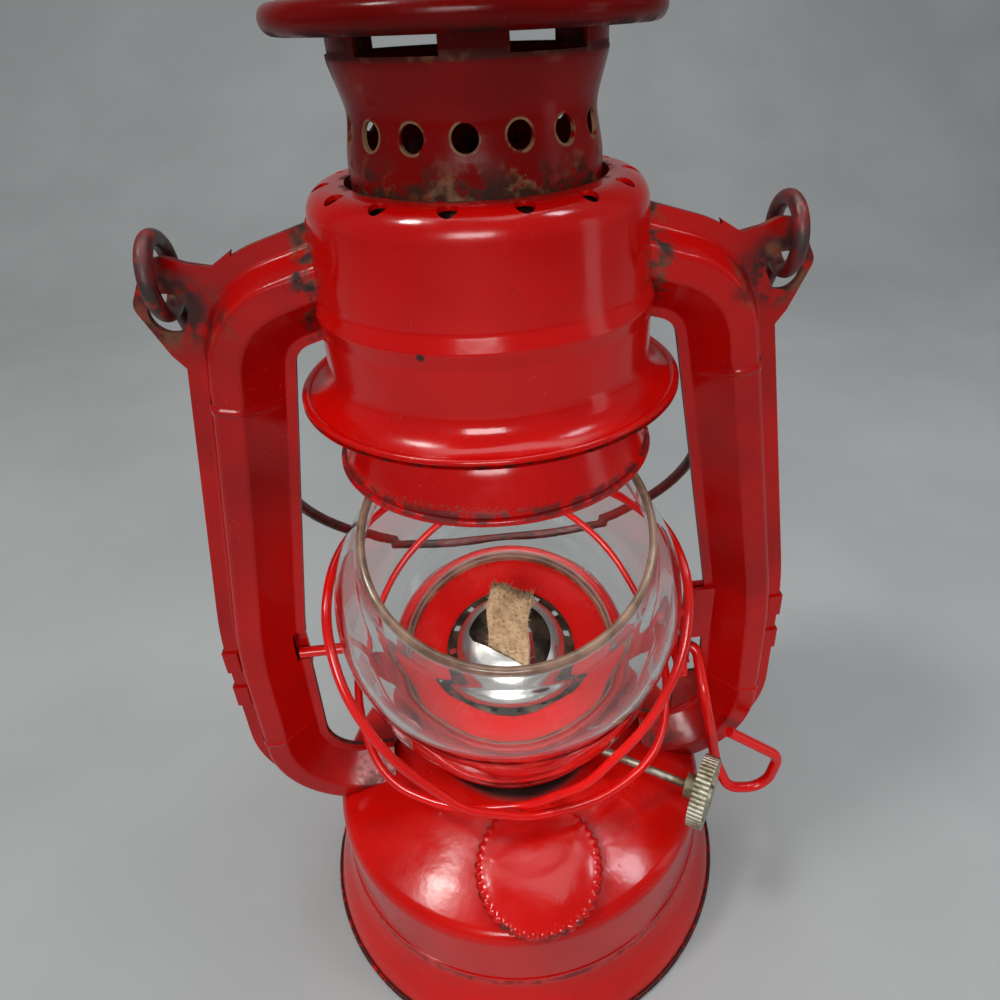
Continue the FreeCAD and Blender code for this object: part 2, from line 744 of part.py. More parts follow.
def lever_strap(tubes):
    """The web that stands on the right lower tube, with a hollowed top edge."""
    far_x = centre_x(65) - flange_out + 2
    low = tube_heel[1] + flange_out - 3
    outline = [(strap_x, low), (far_x, low), (far_x, strap_top_z + 0.4)]
    dip = Part.Arc(V(far_x, 0, strap_top_z + 0.4),
                   V((strap_x + far_x) / 2, 0, strap_top_z - strap_dip),
                   V(strap_x, 0, strap_top_z)).toShape()
    edges = [Part.LineSegment(V(a[0], 0, a[1]), V(b[0], 0, b[1])).toShape()
             for a, b in zip(outline, outline[1:])]
    edges += [dip, Part.LineSegment(V(strap_x, 0, strap_top_z), V(strap_x, 0, low)).toShape()]
    face = Part.Face(Part.Wire(Part.__sortEdges__(edges)))
    web = face.extrude(V(0, strap_thick, 0))
    web.translate(V(0, -strap_thick / 2, 0))
    return biggest(web.cut(tubes[0]).cut(tubes[1]))


# Drum, chimney and what they carry
def drum_outline():
    lip_z = drum_lip_z + drum_lip_bead_r
    points = [(drum_hole_r, drum_top_z), (drum_r - drum_draft, drum_top_z),
              (drum_r, drum_bead_z + drum_bead_half), (drum_bead_r, drum_bead_z),
              (drum_lower_r, drum_bead_z - drum_bead_half), (drum_lower_r, lip_z), (drum_lip_r - 0.6, lip_z)]
    return points, [drum_corner_r, drum_bead_half, drum_bead_round, drum_bead_half, drum_flare_z - lip_z]


def drum_space():
    """The drum as if it were solid."""
    points, radii = drum_outline()
    wire = rounded([(0, 0, drum_top_z)] + [(r, 0, z) for r, z in points], [0] + radii)
    low = points[-1][1]
    closing = Part.makePolygon([V(points[-1][0], 0, low), V(0, 0, low), V(0, 0, drum_top_z)])
    return Part.Face(Part.Wire(wire.Edges + closing.Edges)).revolve(ORIGIN, Z_AXIS, 360)


def drum():
    points, radii = drum_outline()
    shell = spun(points, radii, -sheet)
    lip = Part.makeTorus(drum_lip_r - drum_lip_bead_r, drum_lip_bead_r, V(0, 0, drum_lip_z + drum_lip_bead_r))
    shell = shell.fuse(lip)
    hole = rod(vent_r, (0, -vent_ring_r, drum_top_z - 3), Z_AXIS, 6)
    return shell.cut(ringed(hole, vent_count, 360.0 / vent_count / 2))


def chimney_tube():
    points = [(chimney_r, chimney_foot_z), (chimney_r, waist_z - 7), (waist_r, waist_z),
              (flare_r, flare_z), (flare_r, chimney_top_z)]
    shell = spun(points, [14, 9, 5], thin_sheet)
    inner = min(r for r, z in points) - 3
    hole = rod(round_hole_r, (0, -chimney_r - 4, round_hole_z), Y_AXIS, 10)
    shell = shell.cut(ringed(hole, round_hole_count, round_hole_first))
    open_angle = 360.0 / window_count - post_angle
    window_height = window_high_z - window_low_z
    sector = Part.makeCylinder(flare_r + 3, window_height, V(0, 0, window_low_z), Z_AXIS, open_angle)
    sector = sector.cut(Part.makeCylinder(inner, 60, V(0, 0, window_low_z - 5)))
    sector.rotate(ORIGIN, Z_AXIS, -90 + post_angle / 2)
    return biggest(shell.cut(ringed(sector, window_count)).cut(canopy()))


def bell():
    points = [(bell_rim_r - bell_bead_r, bell_rim_z + 0.3), (bell_rim_r - 2.6, bell_rim_z + 5.3), bell_mid,
              (bell_mid[0] - 2.6, bell_mid[1] + 4.6), (chimney_r + thin_sheet, bell_mid[1] + 7.2),
              (chimney_r + thin_sheet, bell_collar_z)]
    shell = spun(points, [8, 12, 8, 2], thin_sheet)
    bead = Part.makeTorus(bell_rim_r - bell_bead_r, bell_bead_r, V(0, 0, bell_rim_z))
    shell = shell.fuse(bead)
    return shell.cut(Part.makeCylinder(chimney_r, 30, V(0, 0, bell_mid[1] + 3)))


def canopy():
    rim_in = canopy_r - canopy_bead_r
    points = [(rim_in, canopy_z + 1.6), (flare_r + 2, canopy_shoulder_z),
              (crown_r + 4, canopy_shoulder_z + 0.6), (crown_r, crown_z - 1), (crown_r / 2, crown_z),
              (axis_gap, crown_z)]
    shell = spun(points, [14, 6, 3, 12], sheet)
    bead = Part.makeTorus(rim_in, canopy_bead_r, V(0, 0, canopy_z))
    hollow = Part.makeTorus(rim_in, canopy_bead_r - sheet, V(0, 0, canopy_z))
    return biggest(shell.fuse(bead).cut(hollow))


def lift_ring_lugs():
    """Two upright lugs on the crown that carry the lifting ring's ends."""
    half = ring_lug_half
    lug = box(0, -half, crown_z - 0.6, ring_lug_thick, half, lift_ring_hinge_z + 2.6)
    lug = eased(lug, 2.4, X_AXIS, crown_z + 1)
    lug = lug.cut(rod(lift_ring_wire_r + bore_gap, (-1, 0, lift_ring_hinge_z), X_AXIS, 4))
    lug.translate(V(ring_lug_gap / 2, 0, 0))
    crown_top = Part.makeCylinder(crown_r, 2, V(0, 0, crown_z - 2))
    pair = [lug, mirrored_x(lug)]
    foot_x = ring_lug_gap / 2 + ring_lug_thick
    foot = box(-foot_x, -half, crown_z + sheet, foot_x, half, crown_z + 2 * sheet)
    return pair[0].fuse(pair[1]).fuse(foot).cut(crown_top).cut(canopy())


def lift_ring():
    """A wire loop, open between its two turned-in ends, lying back over the crown."""
    inner = ring_lug_gap / 2 - 0.8
    outer = ring_lug_gap / 2 + 4.0
    r = lift_ring_r
    far = 2 * r + 2
    points = [(inner, 0, 0), (outer, 0, 0), (r, 8, 0), (r, far - 6, 0), (r - 6, far, 0), (-r + 6, far, 0),
              (-r, far - 6, 0), (-r, 8, 0), (-outer, 0, 0), (-inner, 0, 0)]
    ring = wire_tube(points, lift_ring_bends, lift_ring_wire_r)
    ring.rotate(ORIGIN, X_AXIS, lift_ring_lean)
    ring.translate(V(0, 0, lift_ring_hinge_z))
    return ring


def chimney_spring():
    """The compression spring between the drum's top and the bell's shoulder."""
    low = bell_mid[1] + 7.2 + spring_wire_r
    high = drum_top_z - sheet - spring_wire_r - 0.1
    helix = Part.makeHelix((high - low) / spring_turns, high - low, spring_r)
    helix.translate(V(0, 0, low))
    start = V(spring_r, 0, low)
    ring = Part.Wire([Part.Circle(start, helix.Edges[0].tangentAt(helix.Edges[0].FirstParameter),
                                  spring_wire_r).toShape()])
    return Part.Wire(helix.Edges).makePipeShell([ring], True, True)


# Bail and lever
def bail():
    """Hangs behind the lantern from two eyes that pass through the ears."""
    lean = math.radians(bail_hang)

    def hang(x, s):
        return (x, s * math.sin(lean), bail_pivot_z - s * math.cos(lean))

    points = [hang(bail_x, bail_eye_r), hang(bail_x, bail_reach),
              hang(-bail_x, bail_reach), hang(-bail_x, bail_eye_r)]
    loop = wire_tube(points, bail_bend_r, bail_wire_r)
    for side in (-1, 1):
        eye = Part.makeTorus(bail_eye_r, bail_wire_r, V(side * bail_x, 0, bail_pivot_z), X_AXIS)
        loop = loop.fuse(eye)
    return loop


def lift_lever():
    points = [(cam_x + 0.6, 0, lever_z), (lever_out_x, 0, lever_z)]
    points += [(x, y, lever_z + z) for x, y, z in (lever_drop, lever_leg) + lever_loop]
    wire = wire_tube(points, lever_bends, lever_wire_r)
    a = math.radians(cam_start)
    cam = rod(cam_r, (cam_x, cam_throw * math.cos(a), lever_z + cam_throw * math.sin(a)), X_AXIS, cam_thick)
    return wire.fuse(cam)


# Slides that carry the globe's hinge
def right_link():
    """A plate with a foot over the eccentric and a tongue between the bracket's cheeks."""
    top = hinge_z + 4
    a = math.radians(cam_start)
    foot_z = lever_z + cam_throw * math.sin(a) + cam_r + slide_gap
    plate = box(link_x, -link_half, foot_z, link_x + link_thick, link_half, top)
    plate = eased(plate, 3, X_AXIS, top - 1)
    centre_y = cam_throw * math.cos(a)
    foot = box(link_x, centre_y - cam_r - 0.6, foot_z,
               cam_x + cam_thick, centre_y + cam_r + 0.4, foot_z + foot_thick)
    tongue = box(link_x, -tongue_thick / 2, lever_z + 7, tongue_x, tongue_thick / 2, top - 1.5)
    body = plate.fuse(foot).fuse(tongue)
    return body.cut(rod(hinge_wire_r + bore_gap, (link_x - 1, 0, hinge_z), X_AXIS, 10)).removeSplitter()


# The globe's tilting frame, made upright
def upright_plate():
    """The plate, with a raised rib round the glass's foot and a turned-down rim."""
    rib_in = glass_foot_r + 2.0
    rib_out = rib_in + 2.4
    rim_z = plate_z - plate_drop
    points = [(plate_hole_r, plate_z), (rib_in - 1.4, plate_z), (rib_in, plate_z + plate_rib),
              (rib_out, plate_z + plate_rib / 2), (plate_r, rim_z), (plate_r, rim_z - plate_rim)]
    return spun(points, [1.0, 1.4, 2.0, 0.9], -sheet)


def globe_plate():
    return upright_to_rest(upright_plate())


def air_ring():
    """The perforated ring that feeds air to the flame."""
    foot_r = plate_hole_r + 1.6
    top = plate_z + air_ring_height
    ring = turned([(foot_r, plate_z), (foot_r, plate_z + 0.5), (plate_hole_r - 0.1, plate_z + 0.5),
                   (dome_r, top), (dome_r, top - 0.6), (plate_hole_r - 0.5, plate_z)])
    hole = rod(air_ring_hole_r, (0, -(plate_hole_r + dome_r) / 2, plate_z - 2), Z_AXIS, 6)
    ring = ring.cut(ringed(hole, air_ring_holes))
    return upright_to_rest(ring)


def burner_dome():
    low = plate_z + air_ring_height
    outside = [(dome_r, low), (dome_r, low + 1.0), (dome_r * 0.82, low + dome_height * 0.72),
               (dome_r * 0.42, low + dome_height), (0.01, low + dome_height)]
    shell = spun(outside, [2, 6, 8], dome_wall)
    slot = box(-dome_slot_length / 2, wick_offset - dome_slot_width / 2, low + 1.6,
               dome_slot_length / 2, wick_offset + dome_slot_width / 2, low + dome_height + 2)
    slot = eased(slot, dome_slot_width * 0.45, Z_AXIS)
    return upright_to_rest(shell.cut(burner_to_rest(slot)))


def glass_globe():
    h = glass_top_z - plate_z
    outside = [(glass_foot_r, plate_z + 0.05), (glass_foot_r, plate_z + 2.5),
               (glass_foot_r + 2.4, plate_z + 6), (glass_belly_r, plate_z + glass_belly_height * 0.42),
               (glass_belly_r, plate_z + glass_belly_height * 1.55),
               (glass_top_r + 1.9, glass_top_z - h * 0.13), (glass_top_r, glass_top_z)]
    return upright_to_rest(spun(outside, [3, 8, 28, 26, 14], glass_wall))


def guard_wire(mirror, side):
    """One of the two bent guard rings, as a rigid wire; they cross in front and behind."""
    points = []
    for angle, r, height in guard_points:
        a = math.radians(angle)
        r = r + (guard_cross_out + side * guard_cross_offset) * math.cos(a) ** 2
        points.append(V(mirror * r * math.sin(a), -r * math.cos(a), plate_z + height))
    start = (points[0] + points[-1]) * 0.5
    shift = (points[-1] - points[0]).normalize() * (guard_joint_gap / 2)
    loop = [start - shift] + points + [start + shift]
    loop = [(p.x, p.y, p.z) for p in loop]
    return upright_to_rest(wire_tube(loop, even_radii(loop), guard_wire_r))


def hinge_wire(end_x):
    """Stands on the plate's flange and turns out to make a hinge pin."""
    top = hinge_z
    points = [(hinge_wire_x, 0, plate_z - plate_drop), (hinge_wire_x, 0, top), (end_x, 0, top)]
    wire = wire_tube(points, [hinge_bend_r], hinge_wire_r)
    return wire


def hinge_wires():
    plate = upright_plate()
    right = hinge_wire(cam_x + cam_thick - 0.4).cut(plate)
    left = mirrored_x(hinge_wire(left_pin_end_x).cut(plate))
    return upright_to_rest(left), upright_to_rest(right)


def neck_hole():
    """The hole for the filler's neck, to cut from the tank."""
    return cap_to_rest(Part.makeCylinder(neck_r, 2 * neck_hole_reach, V(0, 0, -neck_hole_reach)))


def build():
    tank = tank_solid()
    arms = arm_halves(tank, drum_space())
    right = (arms["right_tube_front"], arms["right_tube_rear"])
    left = (arms["left_tube_front"], arms["left_tube_rear"])
    hinge_left, hinge_right = hinge_wires()
    parts = {
        "base_skirt": base_skirt(),
        "tank_shell": tank_shell(),
        "tank_bottom": tank_bottom(),
        "burner_collar": burner_collar(),
        "filler_neck": filler_neck(),
        "filler_cap": filler_cap(),
        "cap_gasket": cap_gasket(),
        "burner_body": burner_body(),
        "wick_tube": wick_tube(),
        "wick": wick(),
        "wick_shaft": wick_shaft(),
        "wick_knob": wick_knob(),
        "knob_rivet": knob_rivet(),
        "seam_clips": seam_clips(),
        "left_bracket": left_bracket(left),
        "right_bracket": right_bracket(right),
        "lever_strap": lever_strap(right),
        "drum": drum(),
        "chimney_tube": chimney_tube(),
        "bell": bell(),
        "canopy": canopy(),
        "ring_lugs": lift_ring_lugs(),
        "lift_ring": lift_ring(),
        "chimney_spring": chimney_spring(),
        "bail": bail(),
        "lift_lever": lift_lever(),
        "right_link": right_link(),
        "globe_plate": globe_plate(),
        "air_ring": air_ring(),
        "burner_dome": burner_dome(),
        "glass_globe": glass_globe(),
        "guard_wire_a": guard_wire(1, -1),
        "guard_wire_b": guard_wire(-1, 1),
        "hinge_wire_left": hinge_left,
        "hinge_wire_right": hinge_right,
    }
    parts.update(arms)
    return parts


os.makedirs("parts", exist_ok=True)
for name, shape in sorted(build().items()):
    shape.exportStep("parts/%s.step" % name)
    print("%-18s solids %d valid %s volume %.1f" % (name, len(shape.Solids), shape.isValid(), shape.Volume))
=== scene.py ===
import math
import random

import bmesh
import bpy
from mathutils import Matrix, Vector


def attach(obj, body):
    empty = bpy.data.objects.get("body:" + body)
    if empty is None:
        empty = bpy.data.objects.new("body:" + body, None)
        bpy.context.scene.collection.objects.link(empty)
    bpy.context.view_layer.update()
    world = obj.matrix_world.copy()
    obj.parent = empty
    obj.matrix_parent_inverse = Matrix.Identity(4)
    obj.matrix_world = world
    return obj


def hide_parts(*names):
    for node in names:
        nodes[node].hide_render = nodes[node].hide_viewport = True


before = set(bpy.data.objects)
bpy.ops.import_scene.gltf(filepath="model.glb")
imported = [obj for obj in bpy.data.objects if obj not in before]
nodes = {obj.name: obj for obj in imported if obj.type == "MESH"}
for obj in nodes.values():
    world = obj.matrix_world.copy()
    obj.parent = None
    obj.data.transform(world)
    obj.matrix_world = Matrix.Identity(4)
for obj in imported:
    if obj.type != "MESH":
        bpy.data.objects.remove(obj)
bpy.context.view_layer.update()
random.seed(7)
MM = 0.001

# Sizes shared with the CAD model, in millimetres and degrees. bail_pivot is x and z.
hinge_z = 96.5
globe_tilt = 25.8
burner_turn = -34.0
plate_z = 80.0
wick_offset = -1.6
wick_wide = 12.7
cap_place = (1.5, -41.5, 49.0)
cap_lean = 16.0
guard_wire_r = 1.2
bail_wire_r = 1.65
bail_eye_r = 7.0
bail_pivot = (61.75, 199.0)
bail_reach = 132.0
bail_hang = 28.0

# The chimney's vent holes: how many, the first one in degrees from the front, then height and wall radius in
# metres, as the materials need them
vent_count = 16
vent_first = -5.9
vent_z = 0.2226
vent_wall_r = 0.0222

# Smoothing: edges sharper than this many degrees stay sharp
turned_sharp = 50
fold_sharp = 40

to_rest = (Matrix.Translation((0, 0, hinge_z * MM)) @ Matrix.Rotation(math.radians(globe_tilt), 4, "X")
           @ Matrix.Translation((0, 0, -hinge_z * MM)))
to_burner = Matrix.Rotation(math.radians(burner_turn), 4, "Z")
to_cap = Matrix.Translation([c * MM for c in cap_place]) @ Matrix.Rotation(math.radians(cap_lean), 4, "X")


# Node materials
class Nodes:
    """A material's node tree, built with short calls."""

    def __init__(self, name):
        self.mat = bpy.data.materials.new(name)
        self.mat.use_nodes = True
        self.tree = self.mat.node_tree
        self.tree.nodes.clear()
        self.out = self.new("ShaderNodeOutputMaterial")
        self.bsdf = self.new("ShaderNodeBsdfPrincipled")
        self.link(self.bsdf.outputs[0], self.out.inputs[0])
        self.co = self.new("ShaderNodeTexCoord").outputs["Object"]
        split = self.new("ShaderNodeSeparateXYZ")
        self.link(self.co, split.inputs[0])
        self.x, self.y, self.z = split.outputs

    def new(self, kind):
        return self.tree.nodes.new(kind)

    def link(self, a, b):
        self.tree.links.new(a, b)

    def put(self, socket, value):
        if isinstance(value, bpy.types.NodeSocket):
            self.link(value, socket)
        else:
            socket.default_value = value

    def math(self, op, a, b=0.0, c=0.0, clamp=False):
        n = self.new("ShaderNodeMath")
        n.operation = op
        n.use_clamp = clamp
        self.put(n.inputs[0], a)
        self.put(n.inputs[1], b)
        self.put(n.inputs[2], c)
        return n.outputs[0]

    def mix(self, fac, a, b):
        n = self.new("ShaderNodeMix")
        n.data_type = "RGBA"
        self.put(n.inputs[0], fac)
        self.put(n.inputs[6], a)
        self.put(n.inputs[7], b)
        return n.outputs[2]

    def noise(self, scale, detail=3.0, rough=0.55, stretch=None):
        n = self.new("ShaderNodeTexNoise")
        co = self.co
        if stretch:
            m = self.new("ShaderNodeMapping")
            m.inputs["Scale"].default_value = stretch
            self.link(self.co, m.inputs[0])
            co = m.outputs[0]
        self.link(co, n.inputs["Vector"])
        n.inputs["Scale"].default_value = scale
        n.inputs["Detail"].default_value = detail
        n.inputs["Roughness"].default_value = rough
        return n.outputs[0]

    def span(self, value, low, high, to_low=0.0, to_high=1.0):
        n = self.new("ShaderNodeMapRange")
        n.interpolation_type = "SMOOTHSTEP"
        self.put(n.inputs["Value"], value)
        n.inputs["From Min"].default_value = low
        n.inputs["From Max"].default_value = high
        n.inputs["To Min"].default_value = to_low
        n.inputs["To Max"].default_value = to_high
        return n.outputs[0]

    def band(self, value, centre, half, soft):
        """1 within half of centre, falling to 0 over soft."""
        off = self.math("ABSOLUTE", self.math("SUBTRACT", value, centre))
        return self.span(off, half, half + soft, 1.0, 0.0)

    def times(self, a, *more):
        for b in more:
            a = self.math("MULTIPLY", a, b)
        return a

    def radius(self, x=None, y=None):
        x = self.x if x is None else x
        y = self.y if y is None else y
        return self.math("SQRT", self.math("ADD", self.times(x, x), self.times(y, y)))

    def bump(self, height, strength, distance):
        n = self.new("ShaderNodeBump")
        n.inputs["Strength"].default_value = strength
        n.inputs["Distance"].default_value = distance
        self.put(n.inputs["Height"], height)
        return n.outputs[0]

    def finish(self, **sockets):
        for k, v in sockets.items():
            self.put(self.bsdf.inputs[k.replace("_", " ")], v)
        return self.mat


def rgb(r, g, b):
    """A colour written as on a screen, 0 to 255, as Blender's linear numbers."""
    def lin(c):
        c = c / 255.0
        return c / 12.92 if c <= 0.04045 else ((c + 0.055) / 1.055) ** 2.4
    return (lin(r), lin(g), lin(b), 1.0)


def enamel(name, base, dark, dirt_and_shade, speck, worn, rough, shine=0.5):
    """Glossy enamel with orange peel, uneven gloss, dust, small chips, and grime and painted shade where a
    mask says.
    """
    n = Nodes(name)
    broad = n.noise(22.0, 3.0)
    fine = n.noise(900.0, 2.0)
    colour = n.mix(n.span(broad, 0.35, 0.7), rgb(*base), rgb(*dark))
    dust = n.span(n.noise(1500.0, 1.0), 0.70, 0.76)
    patch = n.span(n.noise(60.0, 2.0), 0.45, 0.7)
    colour = n.mix(n.times(dust, patch, 0.35 * speck), colour, rgb(205, 150, 130))
    pits = n.span(n.noise(420.0, 3.0, 0.6), 0.72, 0.76)
    colour = n.mix(n.times(pits, 0.8 * worn), colour, rgb(52, 20, 16))
    uneven = n.noise(75.0, 4.0, 0.6)
    roughness = n.span(uneven, 0.35, 0.75, rough, rough + 0.12)
    height = n.math("ADD", n.times(n.noise(330.0, 2.0), 0.7), n.times(fine, 0.12))
    height = n.math("SUBTRACT", height, n.times(pits, 0.8 * worn))
    # The mask darkens the enamel with real grime and wear and with painted shade
    if dirt_and_shade:
        mask, tint = dirt_and_shade(n)
        colour = n.mix(mask, colour, tint)
        roughness = n.math("ADD", roughness, n.times(mask, 0.45), clamp=True)
        height = n.math("ADD", height, n.times(mask, n.noise(700.0, 3.0), 0.9))
    normal = n.bump(height, 0.12, 0.0004)
    return n.finish(Base_Color=colour, Roughness=roughness, Normal=normal, Specular_IOR_Level=shine)


def broken(n, mask, scale=260.0, low=0.42, high=0.6):
    """A mask with an uneven, spotty edge."""
    return n.times(mask, n.span(n.noise(scale, 4.0, 0.65), low, high))


def most(n, *masks):
    """The strongest of several masks."""
    out = masks[0]
    for m in masks[1:]:
        out = n.math("MAXIMUM", out, m)
    return out


# Mesh building
def finish_mesh(name, bm, body, mat, replaces=(), sharp=turned_sharp, place=None):
    """Turns bm into a visible piece that rides on body and takes the place of the nodes in replaces."""
    if place is not None:
        bm.transform(place)
    bmesh.ops.recalc_face_normals(bm, faces=bm.faces)
    mesh = bpy.data.meshes.new(name)
    bm.to_mesh(mesh)
    bm.free()
    mesh.shade_smooth()
    if sharp is not None:
        mesh.set_sharp_from_angle(angle=math.radians(sharp))
    mesh.materials.append(mat)
    piece = bpy.data.objects.new(name, mesh)
    bpy.context.scene.collection.objects.link(piece)
    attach(piece, body)
    if replaces:
        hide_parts(*replaces)
    return piece


def rounded_path(points, radii, turn_step, run_step):
    """Points along straight runs joined by tangent arcs, as the CAD wires are.

    radii is one radius for all bends or a list. turn_step is in degrees and run_step in millimetres."""
    pts = [Vector(p) for p in points]
    out = [pts[0]]
    for i in range(1, len(pts) - 1):
        c = pts[i]
        back = (pts[i - 1] - c).normalized()
        ahead = (pts[i + 1] - c).normalized()
        turn = math.pi - back.angle(ahead)
        r = radii[i - 1] if isinstance(radii, (list, tuple)) else radii
        if r <= 0 or turn < 1e-4:
            out.append(c)
            continue
        cut = r * math.tan(turn / 2)
        middle = (back + ahead).normalized()
        centre = c + middle * (r / math.cos(turn / 2))
        a = c + back * cut - centre
        axis = a.cross(c + ahead * cut - centre).normalized()
        steps = max(2, int(math.degrees(turn) / turn_step) + 1)
        for k in range(steps + 1):
            out.append(centre + Matrix.Rotation(turn * k / steps, 3, axis) @ a)
    out.append(pts[-1])
    clean = [out[0]]
    for p in out[1:]:
        if (p - clean[-1]).length > 1e-4:
            clean.append(p)
    fine = [clean[0]]
    for p in clean[1:]:
        parts = max(1, int((p - fine[-1]).length / run_step))
        start = fine[-1].copy()
        for k in range(1, parts + 1):
            fine.append(start.lerp(p, k / parts))
    return fine


def even_radii(points):
    """At each inner point, the radius whose arc takes up 0.45 of the shorter run beside it."""
    radii = []
    for i in range(1, len(points) - 1):
        a, b, c = (Vector(points[i + k]) for k in (-1, 0, 1))
        turn = math.pi - (a - b).angle(c - b)
        radii.append(0.45 * min((a - b).length, (c - b).length) / math.tan(turn / 2) if turn > 1e-3 else 0)
    return radii


def sweep(bm, path, r, sides, closed=False, wobble=0.0):
    """A round tube along a path, in millimetres. r is its radius, or gives it for 0 to 1 along the path."""
    count = len(path)
    rings = []
    normal = None
    for i, p in enumerate(path):
        before = path[i - 1] if i or closed else path[0]
        after = path[(i + 1) % count] if i < count - 1 or closed else path[-1]
        along = (after - before).normalized()
        if normal is None:
            normal = along.orthogonal().normalized()
        normal = (normal - along * normal.dot(along)).normalized()
        other = along.cross(normal)
        size = (r(i / max(1, count - 1)) if callable(r) else r) * (1 + wobble * math.sin(i * 1.7))
        ring = []
        for k in range(sides):
            a = 2 * math.pi * k / sides
            ring.append(bm.verts.new((p + normal * (size * math.cos(a)) + other * (size * math.sin(a))) * MM))
        rings.append(ring)
    spans = count if closed else count - 1
    for i in range(spans):
        a, b = rings[i], rings[(i + 1) % count]
        if i == count - 1:
            # The last ring meets the first with the least twist
            turn = min(range(sides), key=lambda k: (b[k].co - a[0].co).length)
            b = b[turn:] + b[:turn]
        for k in range(sides):
            bm.faces.new((a[k], a[(k + 1) % sides], b[(k + 1) % sides], b[k]))
    if not closed:
        bm.faces.new(list(reversed(rings[0])))
        bm.faces.new(rings[-1])


def lathe(bm, profile, segments, shape=None):
    """A closed (r, z) profile in millimetres turned about Z. shape(r, z, a) may move a point."""
    rings = []
    for i in range(segments):
        a = math.radians(360.0 * i / segments)
        ring = []
        for r, z in profile:
            rr, zz = shape(r, z, a) if shape else (r, z)
            ring.append(bm.verts.new((rr * math.sin(a) * MM, -rr * math.cos(a) * MM, zz * MM)))
        rings.append(ring)
    m = len(profile)
    for i in range(segments):
        a, b = rings[i], rings[(i + 1) % segments]
        for k in range(m):
            j = (k + 1) % m
            bm.faces.new((a[k], a[j], b[j], b[k]))


def circle(r, count, z):
    """Points round the Z axis, in millimetres."""
    turns = (2 * math.pi * k / count for k in range(count))
    return [Vector((r * math.sin(a), -r * math.cos(a), z)) for a in turns]


def flat_path(points, radii, step, run):
    """A rounded path in the (r, z) plane, as pairs."""
    return [(p.x, p.z) for p in rounded_path([(x, 0, z) for x, z in points], radii, step, run)]


def offset(path, thick):
    """The same path, moved to its left by thick."""
    out = []
    for i, (x, z) in enumerate(path):
        a = path[max(i - 1, 0)]
        b = path[min(i + 1, len(path) - 1)]
        dx, dz = b[0] - a[0], b[1] - a[1]
        long = math.hypot(dx, dz)
        out.append((x - dz / long * thick, z + dx / long * thick))
    return out


# Enamel, with the grime, wear and painted shade that each piece has in its own places
def tank_painted_shade(n):
    """Painted shade: a dark foot and crease, and a dark top under the burner."""
    foot = n.band(n.z, 0.0008, 0.0008, 0.0022)
    crease = n.times(n.band(n.z, 0.0196, 0.0006, 0.0012), 0.6)
    top = n.span(n.radius(), 0.0245, 0.0215)
    return most(n, broken(n, foot, 420.0, 0.36, 0.5), broken(n, crease), top), rgb(42, 18, 15)


def chimney_shade_and_wear(n):
    """Painted shade at the foot, on the left and at the upper edge, with patches of bare metal in it, and
    bare metal round each vent hole.
    """
    # Painted shade where the chimney meets the drum, down its left side and under the canopy
    foot = n.times(n.span(n.z, 0.2215, 0.2148), 0.95)
    foot = broken(n, foot, 170.0, 0.44, 0.56)
    left = n.times(n.span(n.x, -0.006, -0.02), n.span(n.z, 0.226, 0.234))
    left = broken(n, n.times(left, 0.9), 120.0, 0.46, 0.6)
    edge = n.times(n.band(n.z, 0.2336, 0.0003, 0.0007), 0.7)
    ring = n.band(n.z, vent_z, 0.0022, 0.001)
    turn = n.math("ARCTAN2", n.x, n.times(n.y, -1.0))
    # The whole steps that are added keep the angle positive
    step = 2 * math.pi / vent_count
    near = n.math("PINGPONG", n.math("ADD", turn, 20 * step - math.radians(vent_first)), step / 2)
    du = n.times(near, vent_wall_r)
    dz = n.math("SUBTRACT", n.z, vent_z)
    rim = n.band(n.radius(du, dz), 0.0022, 0.00022, 0.0003)
    rim = n.times(rim, ring, n.span(n.noise(300.0), 0.35, 0.55))
    mask = most(n, foot, left, edge, rim)
    bare = n.math("MAXIMUM", rim, n.span(n.noise(240.0), 0.5, 0.7))
    return mask, n.mix(bare, rgb(50, 27, 18), rgb(128, 92, 66))


def drum_shade_and_nick(n):
    """Painted shade round the chimney's foot, a dark band along the lip, and one dark nick on the front."""
    hole = n.times(n.span(n.radius(), 0.0262, 0.0246), n.span(n.z, 0.2125, 0.2135))
    lip = n.times(n.band(n.z, 0.1738, 0.0004, 0.0006), 0.8)
    off_nick = n.radius(n.math("ADD", n.x, 0.0128), n.math("SUBTRACT", n.z, 0.1914))
    nick = n.math("SUBTRACT", 1.0, n.span(off_nick, 0.0004, 0.001))
    front = n.span(n.y, -0.02, -0.028)
    mask = most(n, broken(n, hole, 240.0), broken(n, lip, 500.0), n.times(nick, front))
    return mask, rgb(54, 24, 17)


def arm_grime(n):
    """Dirt along the seam and where each tube meets the drum and the tank, and darker round the ears."""
    seam = n.band(n.y, 0.0, 0.00045, 0.0003)
    ax = n.math("ABSOLUTE", n.x)
    off_ear = n.radius(n.math("SUBTRACT", ax, 0.0618), n.math("SUBTRACT", n.z, 0.1925))
    ear = n.times(n.span(off_ear, 0.0105, 0.005), 0.95)
    off_notch = n.radius(n.math("SUBTRACT", ax, 0.053), n.math("SUBTRACT", n.z, 0.192))
    notch = n.times(n.span(off_notch, 0.007, 0.002), 0.7)
    solder = n.times(n.span(ax, 0.053, 0.047), n.span(n.z, 0.058, 0.05))
    joint = n.times(n.span(ax, 0.0375, 0.035), n.span(n.z, 0.18, 0.185))
    mask = most(n, n.times(seam, 0.85), broken(n, ear, 210.0, 0.36, 0.52), broken(n, notch, 180.0),
                broken(n, n.times(solder, 0.7), 200.0), broken(n, joint, 240.0))
    return mask, n.mix(n.span(n.noise(150.0), 0.45, 0.65), rgb(40, 16, 14), rgb(98, 62, 40))


